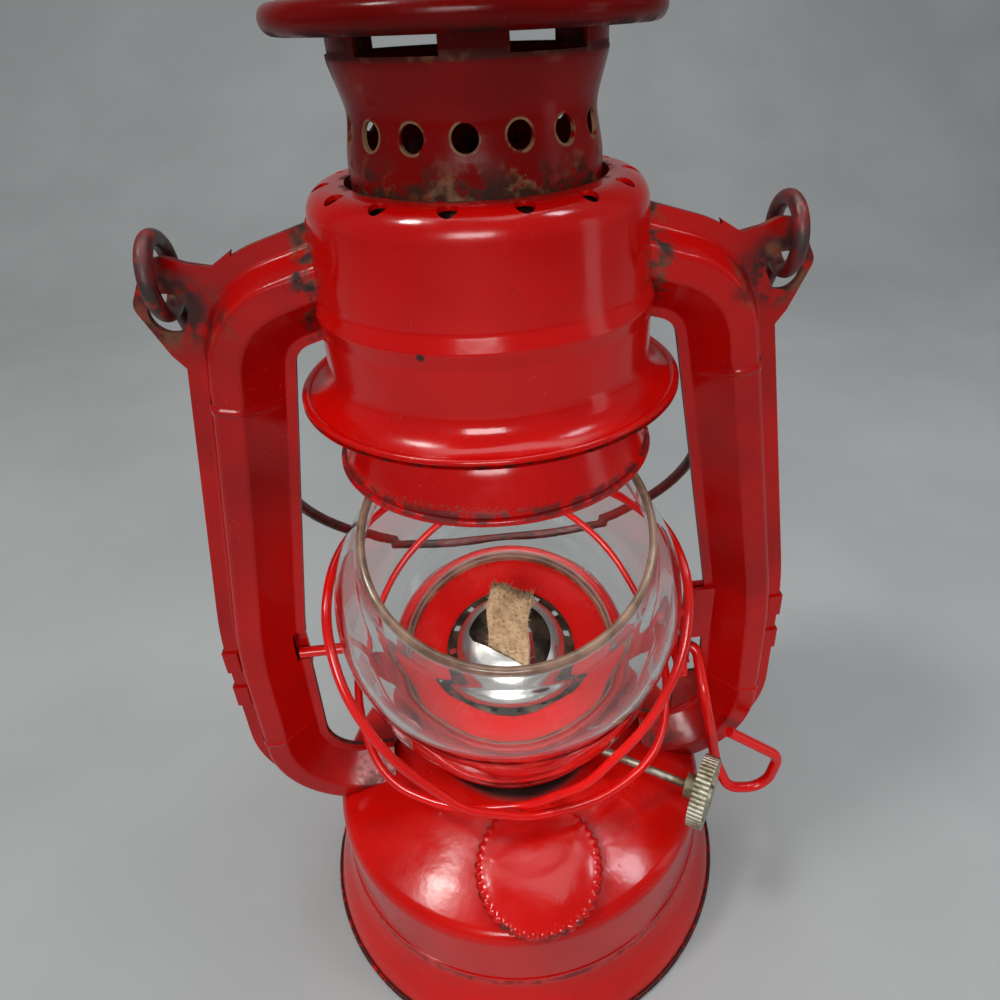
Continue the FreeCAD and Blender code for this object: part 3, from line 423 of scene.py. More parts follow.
def bell_shade_and_wear(n):
    """Painted shade in the crease over the rim, and the rim worn through on its left."""
    crease = n.times(n.band(n.z, 0.1592, 0.0004, 0.0012), 0.75)
    wear = n.times(n.band(n.z, 0.1604, 0.0004, 0.0008), n.span(n.x, 0.008, -0.012),
                   n.span(n.noise(2200.0, 2.0), 0.56, 0.62))
    mask = most(n, broken(n, crease, 300.0, 0.4, 0.55), wear)
    return mask, n.mix(wear, rgb(46, 18, 15), rgb(112, 70, 52))


def canopy_painted_shade(n):
    """Painted shade under the canopy and inside it."""
    under = n.times(n.span(n.z, 0.2378, 0.2366), 0.9)
    inner = n.times(n.span(n.radius(), 0.027, 0.0245), n.span(n.z, 0.2445, 0.243))
    mask = most(n, broken(n, under, 200.0, 0.38, 0.55), broken(n, inner, 200.0, 0.4, 0.55))
    return mask, rgb(42, 18, 14)


red_tank = enamel("red_tank", (198, 12, 6), (176, 8, 4), tank_painted_shade, 0.9, 0.4, 0.12, 0.32)
# A darker copy of the red enamel: painted shade on the chimney under the canopy
shaded_red_chimney = enamel("shaded_red_chimney", (138, 4, 2), (104, 3, 2), chimney_shade_and_wear, 0.5, 0.5, 0.18, 0.16)
red_drum = enamel("red_drum", (190, 6, 2), (170, 4, 2), drum_shade_and_nick, 0.4, 0.45, 0.12, 0.4)
red_arm = enamel("red_arm", (182, 7, 5), (146, 5, 4), arm_grime, 0.5, 0.6, 0.15, 0.34)
# A brighter copy of the red enamel: painted light on the bell
lit_red_bell = enamel("lit_red_bell", (214, 8, 4), (192, 6, 3), bell_shade_and_wear, 0.4, 0.5, 0.13, 0.4)
# A darker copy of the red enamel: painted shade on the downward-facing canopy
shaded_red_canopy = enamel("shaded_red_canopy", (112, 3, 2), (84, 3, 2), canopy_painted_shade, 0.4, 0.5, 0.16, 0.12)
# A brighter copy of the red enamel: painted light on the wires and lever
lit_red_wire = enamel("lit_red_wire", (216, 10, 6), (190, 7, 4), None, 0.5, 0.7, 0.16)
red_plate = enamel("red_plate", (196, 8, 4), (168, 6, 4), None, 0.4, 0.5, 0.2, 0.3)


def cap_crimp_shade(n):
    """Painted shade in the crimps: the cap leans, so its plan is narrower along y."""
    along = n.math("SUBTRACT", n.y, cap_place[1] * MM)
    out = n.radius(n.math("SUBTRACT", n.x, cap_place[0] * MM),
                   n.math("DIVIDE", along, math.cos(math.radians(cap_lean))))
    edge = n.times(n.span(out, 0.0162, 0.0169), n.span(n.noise(320.0, 3.0), 0.42, 0.6))
    return n.times(edge, 0.85), rgb(70, 22, 16)


red_cap = enamel("red_cap", (198, 10, 5), (182, 8, 5), cap_crimp_shade, 0.6, 0.3, 0.1, 0.35)


def soot_wire():
    """The bail's wire: its paint has gone dark, with patches of patina."""
    n = Nodes("bail_paint")
    patch = n.span(n.noise(160.0, 4.0, 0.6), 0.42, 0.6)
    colour = n.mix(patch, rgb(92, 16, 14), rgb(48, 28, 24))
    colour = n.mix(n.span(n.noise(420.0, 3.0), 0.55, 0.65), colour, rgb(120, 22, 18))
    rough = n.span(n.noise(240.0), 0.3, 0.7, 0.35, 0.62)
    return n.finish(Base_Color=colour, Roughness=rough, Normal=n.bump(n.noise(600.0, 4.0), 0.35, 0.0004),
                    Coat_Weight=0.15, Coat_Roughness=0.3)


def glass():
    """Clear glass with smears and brown edges at both ends. Light passes through it to the pieces inside."""
    n = Nodes("globe_glass")
    lean = math.radians(globe_tilt)
    rise = n.math("SUBTRACT", n.times(n.math("SUBTRACT", n.z, hinge_z * MM), math.cos(lean)),
                  n.times(n.y, math.sin(lean)))
    height = n.math("ADD", rise, hinge_z * MM)
    rim = n.span(height, 0.1558, 0.1572)
    foot = n.span(height, 0.0838, 0.0822)
    edge = n.math("MAXIMUM", rim, foot)
    streak = n.noise(60.0, 3.0, 0.5, (1.0, 1.0, 0.25))
    smear = n.span(n.noise(45.0, 4.0, 0.6), 0.5, 0.75)
    rough = n.math("ADD", n.times(smear, 0.04), n.times(edge, 0.12))
    tint = n.mix(n.times(smear, 0.5), (0.975, 0.985, 0.98, 1), (0.93, 0.93, 0.9, 1))
    brown = n.mix(n.span(n.noise(130.0, 3.0), 0.35, 0.65), rgb(168, 134, 112), rgb(112, 84, 66))
    stain = n.times(edge, n.span(n.noise(90.0, 3.0), 0.25, 0.6, 0.55, 0.8))
    clear = n.math("SUBTRACT", 1.0, stain)
    n.finish(Base_Color=n.mix(edge, tint, brown), Roughness=rough, IOR=1.47, Transmission_Weight=clear,
             Normal=n.bump(streak, 0.12, 0.0012))
    pass_light = n.new("ShaderNodeBsdfTransparent")
    pass_light.inputs[0].default_value = (0.93, 0.94, 0.93, 1)
    shadow = n.new("ShaderNodeMixShader")
    n.link(n.new("ShaderNodeLightPath").outputs["Is Shadow Ray"], shadow.inputs[0])
    n.link(n.bsdf.outputs[0], shadow.inputs[1])
    n.link(pass_light.outputs[0], shadow.inputs[2])
    n.link(shadow.outputs[0], n.out.inputs[0])
    return n.mat


def metal(name, base, stain, rough, low, high):
    """Bare metal with stains where a noise lies between low and high."""
    n = Nodes(name)
    spots = n.span(n.noise(120.0, 4.0, 0.65), low, high)
    colour = n.mix(spots, rgb(*base), rgb(*stain))
    r = n.math("ADD", rough, n.times(n.math("ADD", spots, n.noise(300.0)), 0.16))
    height = n.math("ADD", n.noise(180.0, 3.0), n.times(n.noise(1100.0, 2.0), 0.3))
    return n.finish(Base_Color=colour, Metallic=1.0, Roughness=r, Normal=n.bump(height, 0.2, 0.0004))


tin = metal("burner_tin", (226, 224, 220), (178, 170, 160), 0.22, 0.5, 0.75)
inner_tin = metal("sooty_tin", (74, 66, 60), (26, 22, 20), 0.4, 0.35, 0.6)
knob_metal = metal("knob_plate", (200, 198, 180), (132, 122, 96), 0.3, 0.4, 0.62)
shaft_metal = metal("shaft_plate", (176, 172, 158), (112, 92, 70), 0.32, 0.42, 0.62)
brass = metal("aged_brass", (176, 140, 84), (92, 62, 36), 0.34, 0.4, 0.6)
spring_metal = metal("spring_steel", (150, 148, 142), (80, 58, 44), 0.35, 0.4, 0.6)


def soot_plate():
    n = Nodes("soot_ring")
    colour = n.mix(n.span(n.noise(160.0, 4.0), 0.4, 0.62), rgb(44, 34, 28), rgb(96, 78, 62))
    return n.finish(Base_Color=colour, Metallic=0.6, Roughness=n.span(n.noise(220.0), 0.3, 0.7, 0.4, 0.65),
                    Normal=n.bump(n.noise(800.0, 3.0), 0.3, 0.0003))


def cotton():
    n = Nodes("wick_cotton")
    tone = n.mix(n.span(n.noise(220.0, 4.0), 0.35, 0.7), rgb(204, 168, 128), rgb(160, 122, 84))
    tone = n.mix(n.span(n.noise(900.0, 3.0), 0.5, 0.72), tone, rgb(116, 82, 54))
    char = n.span(n.math("ADD", n.z, n.times(n.noise(300.0), 0.006)), 0.1140, 0.1185)
    colour = n.mix(n.times(char, 0.35), tone, rgb(110, 78, 52))
    strands = n.noise(2200.0, 2.0, 0.5, (1.0, 1.0, 0.35))
    return n.finish(Base_Color=colour, Roughness=0.9, Sheen_Weight=0.25, Normal=n.bump(strands, 0.7, 0.0004))


def cork():
    n = Nodes("seal")
    colour = n.mix(n.span(n.noise(500.0, 3.0), 0.4, 0.6), rgb(96, 70, 48), rgb(52, 36, 26))
    return n.finish(Base_Color=colour, Roughness=0.85, Normal=n.bump(n.noise(900.0, 3.0), 0.5, 0.0005))


bail_mat = soot_wire()
glass_mat = glass()
wick_mat = cotton()
soot_mat = soot_plate()
cork_mat = cork()


def dress(names, mat, sharp):
    """Gives the CAD nodes in names a material and smooth faces."""
    for name in names:
        mesh = nodes[name].data
        mesh.materials.clear()
        mesh.materials.append(mat)
        mesh.shade_smooth()
        mesh.set_sharp_from_angle(angle=math.radians(sharp))


tube_halves = ["left_tube_front", "left_tube_rear", "right_tube_front", "right_tube_rear"]
plain_mats = {
    red_tank: ["tank_bottom"],
    brass: ["filler_neck"],
    shaded_red_chimney: ["chimney_tube"],
    red_drum: ["drum"],
    lit_red_bell: ["bell"],
    shaded_red_canopy: ["canopy", "ring_lugs"],
    red_arm: ["seam_clips", "left_bracket", "right_bracket", "lever_strap"],
    red_plate: ["right_link"],
    inner_tin: ["burner_body", "wick_tube", "burner_collar"],
    knob_metal: ["wick_knob", "knob_rivet"],
    shaft_metal: ["wick_shaft"],
    spring_metal: ["chimney_spring"],
    cork_mat: ["cap_gasket"],
}
for mat, names in plain_mats.items():
    dress(names, mat, 30)
dress(tube_halves, red_arm, 72)
dress(["lift_lever", "lift_ring", "hinge_wire_left", "hinge_wire_right"], lit_red_wire, fold_sharp)


# The pieces shaped here: most are in place of a CAD node, and the solder beads and tube rings lie beside them
def globe_piece():
    """The glass globe: a smooth wall with a rounded upper edge."""
    wall, edge_rise = 1.7, 0.6
    outside = flat_path([(30.8, 80.05), (30.8, 82.5), (33.2, 86.0), (41.0, 94.7), (41.0, 134.25),
                         (32.5, 148.03), (30.6, 157.6)], [3, 8, 28, 26, 14], 3.0, 1.2)
    top_r, top_z = outside[-1]
    turns = [math.radians(180 * k / 8) for k in range(1, 8)]
    tip = [(top_r - wall / 2 + wall / 2 * math.cos(a), top_z + edge_rise * math.sin(a)) for a in turns]
    bm = bmesh.new()
    lathe(bm, outside + tip + list(reversed(offset(outside, wall))), 256)
    finish_mesh("globe_wall", bm, "globe", glass_mat, ["glass_globe"], 60, to_rest)


globe_piece()


def tank_piece():
    """The tank's wall and domed top: one pressing with a soft shoulder."""
    wall = 0.55
    outside = flat_path([(56.5, 8.0), (56.5, 20.4), (56.1, 41.6), (47.0, 45.2), (33.0, 49.9), (20.0, 52.8),
                         (13.0, 53.6)], [30, 4.6, 45, 60, 20], 3.0, 1.5)
    bm = bmesh.new()
    lathe(bm, outside + list(reversed(offset(outside, wall))), 256)
    finish_mesh("tank_dome", bm, "root", red_tank, ["tank_shell"])


def skirt_piece():
    """The base: from the tank's wall out in one S-curve to a lip that is rolled under."""
    wall, roll_r, roll_x, roll_z = 0.5, 1.08, 62.65, 1.1
    line = [(56.75, 21.4), (56.9, 17.6), (58.4, 13.0), (61.35, 6.6), (62.9, 1.6)]
    outside = flat_path(line, [7, 12, 22], 3.0, 1.2)
    turns = [math.radians(a) for a in range(70, -200, -15)]
    roll = [(roll_x + roll_r * math.cos(a), roll_z + roll_r * math.sin(a)) for a in turns]
    bm = bmesh.new()
    lathe(bm, outside + roll + list(reversed(offset(outside, -wall))), 256)
    finish_mesh("base_lip", bm, "root", red_tank, ["base_skirt"])


tank_piece()
skirt_piece()


def strip(bm, path, halves, thick):
    """A flat metal tongue along (x, z) points, as wide as halves says at each."""
    lower = offset(path, -thick)
    rows = []
    for (x, z), (u, w), half in zip(path, lower, halves):
        rows.append([bm.verts.new((a * MM, b * MM, c * MM)) for a, b, c in
                     ((x, -half, z), (x, half, z), (u, half, w), (u, -half, w))])
    for a, b in zip(rows, rows[1:]):
        for k in range(4):
            bm.faces.new((a[k], a[(k + 1) % 4], b[(k + 1) % 4], b[k]))
    bm.faces.new(rows[0])
    bm.faces.new(list(reversed(rows[-1])))


def plate_piece():
    """The plate under the glass: a rib round the glass, a deep skirt, and an ear at each hinge wire."""
    wall, skirt_r, foot_z, bead_r = 0.5, 36.5, 70.0, 0.75
    top = flat_path([(18.3, 79.6), (19.4, plate_z), (31.4, plate_z), (32.6, 82.0), (34.2, 80.9),
                     (skirt_r, 76.6), (skirt_r + 0.1, foot_z)], [1.0, 0.8, 1.0, 1.4, 5.0], 4.0, 1.2)
    bm = bmesh.new()
    lathe(bm, top + list(reversed(offset(top, -wall))), 224)
    sweep(bm, circle(skirt_r, 160, foot_z), bead_r, 12, True)
    for side in (-1, 1):
        ear = bmesh.new()
        strip(ear, [(35.2, 78.3), (40.0, 78.5), (43.4, 78.4), (45.0, 77.2), (46.2, 76.9), (47.2, 76.8)],
              [6.5, 4.8, 4.5, 4.2, 3.4, 1.6], 0.9)
        if side < 0:
            ear.transform(Matrix.Rotation(math.pi, 4, "Z"))
        spare = bpy.data.meshes.new("ear")
        ear.to_mesh(spare)
        ear.free()
        bm.from_mesh(spare)
        bpy.data.meshes.remove(spare)
    finish_mesh("plate_dish", bm, "globe", red_plate, ["globe_plate"], place=to_rest)


def dome_piece():
    """The burner's dome: polished outside, sooty inside, with a wide D-shaped opening over the wick."""
    wall, low, centre_drop = 0.6, 82.4, 9.0
    outside = flat_path([(15.8, low), (15.7, low + 1.4), (13.4, low + 6.9), (6.8, low + 9.5),
                         (0.02, low + 9.6)], [2, 7, 9], 3.0, 0.6)
    bm = bmesh.new()
    lathe(bm, outside + list(reversed(offset(outside, wall))), 160)
    bmesh.ops.remove_doubles(bm, verts=bm.verts, dist=2e-6)
    cut = bmesh.new()
    turns = [math.radians(-12 + 204 * k / 40) for k in range(41)]
    ring = [(11.9 * math.cos(a), -1.0 + 12.0 * math.sin(a)) for a in turns]
    ring += [(-11.0, -4.6), (-9.0, -5.8), (9.0, -5.8), (11.0, -4.6)]
    rows = [[cut.verts.new((x * MM, y * MM, z * MM)) for x, y in ring] for z in (low + 1.4, low + 14.0)]
    for k in range(len(ring)):
        j = (k + 1) % len(ring)
        cut.faces.new((rows[0][k], rows[0][j], rows[1][j], rows[1][k]))
    cut.faces.new(list(reversed(rows[0])))
    cut.faces.new(rows[1])
    bmesh.ops.recalc_face_normals(cut, faces=cut.faces)
    bmesh.ops.recalc_face_normals(bm, faces=bm.faces)
    shells = []
    for name, mesh_data in (("dome_work", bm), ("slot_work", cut)):
        mesh = bpy.data.meshes.new(name)
        mesh_data.to_mesh(mesh)
        mesh_data.free()
        work = bpy.data.objects.new(name, mesh)
        bpy.context.scene.collection.objects.link(work)
        shells.append(work)
    carve = shells[0].modifiers.new("slot", "BOOLEAN")
    carve.operation = "DIFFERENCE"
    carve.solver = "EXACT"
    carve.object = shells[1]
    carved = bpy.data.meshes.new_from_object(shells[0].evaluated_get(bpy.context.evaluated_depsgraph_get()))
    bm = bmesh.new()
    bm.from_mesh(carved)
    for work in shells:
        used = work.data
        bpy.data.objects.remove(work)
        bpy.data.meshes.remove(used)
    bpy.data.meshes.remove(carved)
    # Faces that look towards a point under the dome are the sooty inside
    for face in bm.faces:
        c = face.calc_center_median() / MM
        from_centre = Vector((c.x, c.y, c.z - low + centre_drop))
        face.material_index = 1 if face.normal.dot(from_centre) < 0 else 0
    piece = finish_mesh("dome_cover", bm, "globe", tin, ["burner_dome"], fold_sharp,
                        to_rest @ to_burner)
    piece.data.materials.append(inner_tin)


def air_ring_piece():
    """The sooty perforated ring round the dome, and the baffle inside it with room for the tilting wick."""
    holes, rows, steps, hole_steps = 15, 4, 20, 5
    inner, outer, low, high, wall = 15.3, 18.9, 80.1, 82.9, 0.45
    count = holes * steps
    slope = [(outer + (inner - outer) * k / rows, low + (high - low) * k / rows) for k in range(rows + 1)]
    bm = bmesh.new()
    sheets = []
    for drop in (0.0, wall):
        grid = []
        for i in range(count):
            turn = 2 * math.pi * i / count
            grid.append([bm.verts.new((r * math.sin(turn) * MM, -r * math.cos(turn) * MM, (z - drop) * MM))
                         for r, z in slope])
        sheets.append(grid)
    for grid in sheets:
        for i in range(count):
            for k in range(rows):
                in_hole = k in (1, 2) and i % steps < hole_steps
                if not in_hole:
                    j = (i + 1) % count
                    bm.faces.new((grid[i][k], grid[j][k], grid[j][k + 1], grid[i][k + 1]))
    top, under = sheets
    for i in range(count):
        j = (i + 1) % count
        for k in (0, rows) + ((1, 3) if i % steps < hole_steps else ()):
            bm.faces.new((top[i][k], top[j][k], under[j][k], under[i][k]))
        if i % steps in (0, hole_steps):
            for k in (1, 2):
                bm.faces.new((top[i][k], top[i][k + 1], under[i][k + 1], under[i][k]))
    sides, baffle_r, gap_x, gap_y, gap_back = 96, 15.0, 6.6, 8.4, 2.8
    layers = []
    for z in (85.2, 84.8):
        out_ring, in_ring = [], []
        for k in range(sides):
            a = 2 * math.pi * k / sides
            c, d = math.cos(a), math.sin(a)
            out_ring.append(bm.verts.new((baffle_r * c * MM, baffle_r * d * MM, z * MM)))
            size = 1 / (abs(c / gap_x) ** 5 + abs(d / gap_y) ** 5) ** 0.2
            in_ring.append(bm.verts.new((size * c * MM, (size * d - gap_back) * MM, z * MM)))
        layers.append((out_ring, in_ring))
    for k in range(sides):
        j = (k + 1) % sides
        for out_ring, in_ring in layers:
            bm.faces.new((out_ring[k], out_ring[j], in_ring[j], in_ring[k]))
        for which in (0, 1):
            a, b = layers[0][which], layers[1][which]
            bm.faces.new((a[k], a[j], b[j], b[k]))
    finish_mesh("air_baffle", bm, "globe", soot_mat, ["air_ring"], fold_sharp, to_rest)


def joint_bead(name, names, keep, height_of, r):
    """A soldered bead where the two halves of a side tube meet what carries them.

    The bead runs round the outermost of the kept points that lie within 0.3 mm of the lowest height_of."""
    sectors = 30
    spots = [tuple(c / MM for c in v.co) for n in names for v in nodes[n].data.vertices]
    spots = [p for p in spots if keep(p)]
    least = min(height_of(p) for p in spots)
    spots = [Vector(p) for p in spots if height_of(p) < least + 0.3]
    middle = sum(spots, Vector()) / len(spots)
    normal = Vector((middle.x, 0, 0)).normalized() if middle.z > 150 else Vector((0, 0, 1))
    one = normal.orthogonal().normalized()
    two = normal.cross(one)
    outermost = {}
    for p in spots:
        d = p - middle
        turn = math.atan2(d.dot(two), d.dot(one))
        sector = int((turn + math.pi) / (2 * math.pi) * sectors) % sectors
        if sector not in outermost or (outermost[sector] - middle).length < d.length:
            outermost[sector] = p
    loop = [outermost[k] for k in sorted(outermost)]
    count = len(loop)
    fine = []
    for i in range(count):
        p0, p1, p2, p3 = (loop[(i + k) % count] for k in (-1, 0, 1, 2))
        for t in (0.0, 0.34, 0.67):
            fine.append(0.5 * (2 * p1 + (p2 - p0) * t + (2 * p0 - 5 * p1 + 4 * p2 - p3) * t * t
                               + (3 * p1 - p0 - 3 * p2 + p3) * t ** 3))
    bm = bmesh.new()
    sweep(bm, fine, r, 14, True, wobble=0.12)
    finish_mesh(name, bm, "root", red_arm, sharp=None)


def axis_distance(p):
    return math.hypot(p[0], p[1])


def dome_height(p):
    """How far p lies above the tank's top, which is nearly a cone where the tubes stand on it."""
    return p[2] - (46.8 + (41.5 - axis_distance(p)) * 0.27)


plate_piece()
dome_piece()
air_ring_piece()
for side, word in ((-1, "left"), (1, "right")):
    halves = [word + "_tube_front", word + "_tube_rear"]
    joint_bead(word + "_drum_solder", halves, lambda p: p[2] > 170, axis_distance, 0.75)
    joint_bead(word + "_tank_solder", halves, lambda p: p[2] < 80, dome_height, 0.8)


# Degrees round the globe from the front, distance from its axis, and height over the plate
guard_points = [(0, 44.5, 3), (-25, 47, -2), (-50, 50.5, -6), (-75, 47.8, -6), (-100, 46.2, -4.3),
                (-130, 45, 3), (-155, 45, 11), (180, 44.3, 21), (155, 44.3, 31), (130, 44.3, 39),
                (107, 44.5, 44.5), (85, 44.5, 45.5), (65, 45, 38), (45, 45, 26), (20, 45, 12)]


def guard(name, node, mirror, side):
    """One of two closed guard wires. They mirror each other, and side keeps them apart at a crossing."""
    points = []
    for angle, r, height in guard_points:
        a = math.radians(angle)
        r = r + (0.8 + side * 1.4) * math.cos(a) ** 2
        points.append(Vector((mirror * r * math.sin(a), -r * math.cos(a), plate_z + height)))
    start = (points[0] + points[-1]) * 0.5
    loop = [start] + points + [start]
    bm = bmesh.new()
    sweep(bm, rounded_path(loop, even_radii(loop), 5.0, 3.0)[:-1], guard_wire_r, 24, True)
    finish_mesh(name, bm, "globe", lit_red_wire, [node], place=to_rest)


guard("guard_ring_a", "guard_wire_a", 1, -1)
guard("guard_ring_b", "guard_wire_b", -1, 1)


def wick_piece():
    """Six braided cords side by side, ragged and frayed at the top, leaning a little to the right."""
    wide, thick, low, high, tail = wick_wide, 2.5, 84.0, 112.6, 38.0
    columns, rows, pitch, tufts = 72, 150, wick_wide / 6, 420
    ragged = [0.5 * math.sin(i * 0.9) + random.uniform(-0.4, 0.4)
              + 1.2 * math.exp(-((i / columns - 0.3) / 0.2) ** 2)
              - 1.3 * max(0.0, i / columns - 0.85) / 0.15 for i in range(columns + 1)]

    def lean(u, v):
        t = max(0.0, (v - 92.0) / 22.0)
        flare = max(0.0, (v - 107.5) / 5.0) * max(0.0, u) / (wide / 2)
        return u * (1 - 0.06 * t) + 2.1 * t * t + 0.3 * math.sin(v * 0.35) + 1.5 * flare * flare

    def relief(u, v):
        place = (u + wide / 2) / pitch
        cord = math.sqrt(abs(math.sin(math.pi * place)) + 0.001)
        side = 1 if (place % 1.0) < 0.5 else -1
        stitch = math.sin(2 * math.pi * (v / 1.5 + side * 0.55 * (place % 1.0)))
        return 0.28 * cord + 0.12 * stitch * cord + random.uniform(-0.035, 0.035)

    bm = bmesh.new()
    sheets = []
    for side in (-1, 1):
        grid = []
        for j in range(rows + 1):
            row = []
            for i in range(columns + 1):
                u = -wide / 2 + wide * i / columns
                v = low + (high + ragged[i] - low) * j / rows
                fat = 0.55 + 0.45 * min(1.0, min(i, columns - i) / 4.0)
                w = wick_offset + side * (thick / 2 - 0.3 + relief(u, v)) * fat
                row.append(bm.verts.new(Vector((lean(u, v), w, v)) * MM))
            grid.append(row)
        sheets.append(grid)
        for j in range(rows):
            for i in range(columns):
                bm.faces.new((grid[j][i], grid[j][i + 1], grid[j + 1][i + 1], grid[j + 1][i]))
    a, b = sheets
    for j in range(rows):
        for i in (0, columns):
            bm.faces.new((a[j][i], a[j + 1][i], b[j + 1][i], b[j][i]))
    for j in (0, rows):
        for i in range(columns):
            bm.faces.new((a[j][i], a[j][i + 1], b[j][i + 1], b[j][i]))
    # The plain part in the tube and the tank
    centre = Vector((0.0, wick_offset, (tail + low + 0.6) / 2)) * MM
    size = Vector((wide - 0.3, thick - 0.5, low + 0.6 - tail)) * MM
    bmesh.ops.create_cube(bm, size=1.0, matrix=Matrix.Translation(centre) @ Matrix.Diagonal((*size, 1.0)))
    bmesh.ops.recalc_face_normals(bm, faces=bm.faces)
    for k in range(tufts):
        edge = random.random()
        if edge < 0.72:
            u = random.uniform(-wide / 2, wide / 2)
            v = high + ragged[int((u + wide / 2) / wide * columns)] - 0.5
            tuft = 1.0 + 1.3 * math.exp(-((u - 5.0) / 1.4) ** 2)
            along = Vector((random.gauss(0.12, 0.32), random.gauss(0, 0.4), random.uniform(0.5, 1.2) * tuft))
        else:
            side = random.choice((-1, 1))
            v = random.uniform(88.0, high)
            u = side * (wide / 2 - 0.25)
            along = Vector((side * random.uniform(0.3, 0.8), random.gauss(0, 0.3), random.uniform(-0.2, 0.8)))
        start = Vector((lean(u, v), wick_offset + random.uniform(-1.1, 1.1), v))
        long = random.uniform(0.5, 1.7)
        curl = Vector((random.gauss(0, 0.35), random.gauss(0, 0.35), random.gauss(0, 0.2)))
        path = [start + along * long * t + curl * t * t for t in (0, 0.33, 0.66, 1.0)]
        fine = random.uniform(0.05, 0.11)
        sweep(bm, path, lambda t, f=fine: f * (1 - 0.6 * t), 5)
    finish_mesh("wick_cords", bm, "wick", wick_mat, ["wick"], None, to_burner)


wick_piece()


def cap_piece():
    """The filler cap: a crowned disc whose turned-down edge is crimped all round."""
    crimps = 44

    def crimp(r, z, a):
        share = min(1.0, max(0.0, (r - 14.9) / 1.9)) if z > -1.69 else 1.0
        wave = math.cos(crimps * a)
        return r + 0.26 * share * wave, z - 0.16 * share * (1 - wave) * (1 if r > 15.5 else 0)

    top = [(0.01, 3.42), (3.5, 3.38), (7.0, 3.20), (10.0, 2.93), (12.4, 2.62), (13.9, 2.38), (14.7, 2.22),
           (15.2, 2.16), (15.7, 2.14), (16.2, 2.02), (16.6, 1.78), (16.85, 1.4), (16.95, 0.8),
           (16.95, 0.0), (16.9, -0.8), (16.95, -1.3), (16.9, -1.66), (16.5, -1.7), (16.1, -1.55),
           (15.95, -1.0), (15.9, 0.6), (15.3, 1.2), (0.01, 1.25)]
    bm = bmesh.new()
    lathe(bm, top, crimps * 10, crimp)
    bmesh.ops.remove_doubles(bm, verts=bm.verts, dist=2e-6)
    finish_mesh("cap_cover", bm, "cap", red_cap, ["filler_cap"], place=to_cap)


cap_piece()


def tube_ring(name, start_x, z, run_angle, side):
    """A low pressed bead across the ridge of a side tube's front and rear halves."""
    height, half, sunk, parts, steps = 0.45, 1.3, 0.12, 8, 5
    section = [(-8.2, 1.35), (-1.9, 7.6), (-1.0, 8.25), (0.0, 8.42), (3.2, 8.42), (4.2, 8.25), (5.1, 7.2),
               (6.6, 1.5)]
    across = Vector((math.cos(run_angle), 0, math.sin(run_angle)))
    along = Vector((-math.sin(run_angle), 0, math.cos(run_angle)))
    bm = bmesh.new()
    for front in (-1, 1):
        rows = []
        fine = []
        for i in range(len(section) - 1):
            for k in range(steps):
                t = k / steps
                fine.append((section[i][0] * (1 - t) + section[i + 1][0] * t,
                             section[i][1] * (1 - t) + section[i + 1][1] * t))
        fine.append(section[-1])
        for k in range(parts + 1):
            t = -1 + 2 * k / parts
            lift = height * math.cos(math.pi * t / 2) ** 2 - sunk
            row = []
            for i, (u, w) in enumerate(fine):
                fade = math.sin(math.pi * i / (len(fine) - 1)) ** 0.3
                p = Vector((start_x, 0, z)) + across * (u * (1 + 0.02 * lift)) + along * (t * half)
                p.y = front * (w + lift * fade)
                p.x *= side
                row.append(bm.verts.new(p * MM))
            rows.append(row)
        for k in range(parts):
            for i in range(len(fine) - 1):
                bm.faces.new((rows[k][i], rows[k][i + 1], rows[k + 1][i + 1], rows[k + 1][i]))
    finish_mesh(name, bm, "root", red_arm, sharp=None)


# The side tube's line, as (x, z) points: upper bend, elbow, lower bend
upper_bend, elbow, lower_bend = (49.2, 190.9), (65.3, 104.0), (67.6, 45.2)
upper_run = math.atan2(elbow[0] - upper_bend[0], upper_bend[1] - elbow[1])
lower_run = -math.atan2(lower_bend[0] - elbow[0], elbow[1] - lower_bend[1])
for side, word in ((-1, "left"), (1, "right")):
    tube_ring(word + "_upper_ring", 52.55, 172.8, upper_run, side)
    tube_ring(word + "_lower_ring", 66.62, 70.2, lower_run, side)


def bail_piece():
    """The bail: one wire that hangs back from its pivots, and a closed eye at each."""
    lean = math.radians(bail_hang)
    pivot_x, pivot_z = bail_pivot

    def hang(x, s):
        return (x, s * math.sin(lean), pivot_z - s * math.cos(lean))

    bm = bmesh.new()
    loop = [hang(pivot_x, bail_eye_r), hang(pivot_x, bail_reach), hang(-pivot_x, bail_reach),
            hang(-pivot_x, bail_eye_r)]
    sweep(bm, rounded_path(loop, 50.0, 5.0, 4.0), bail_wire_r, 24)
    for side in (-1, 1):
        turns = [2 * math.pi * k / 64 for k in range(64)]
        eye = [Vector((side * pivot_x, bail_eye_r * math.sin(a), pivot_z + bail_eye_r * math.cos(a)))
               for a in turns]
        sweep(bm, eye, bail_wire_r, 24, True)
    finish_mesh("bail_wire", bm, "bail", bail_mat, ["bail"])


bail_piece()


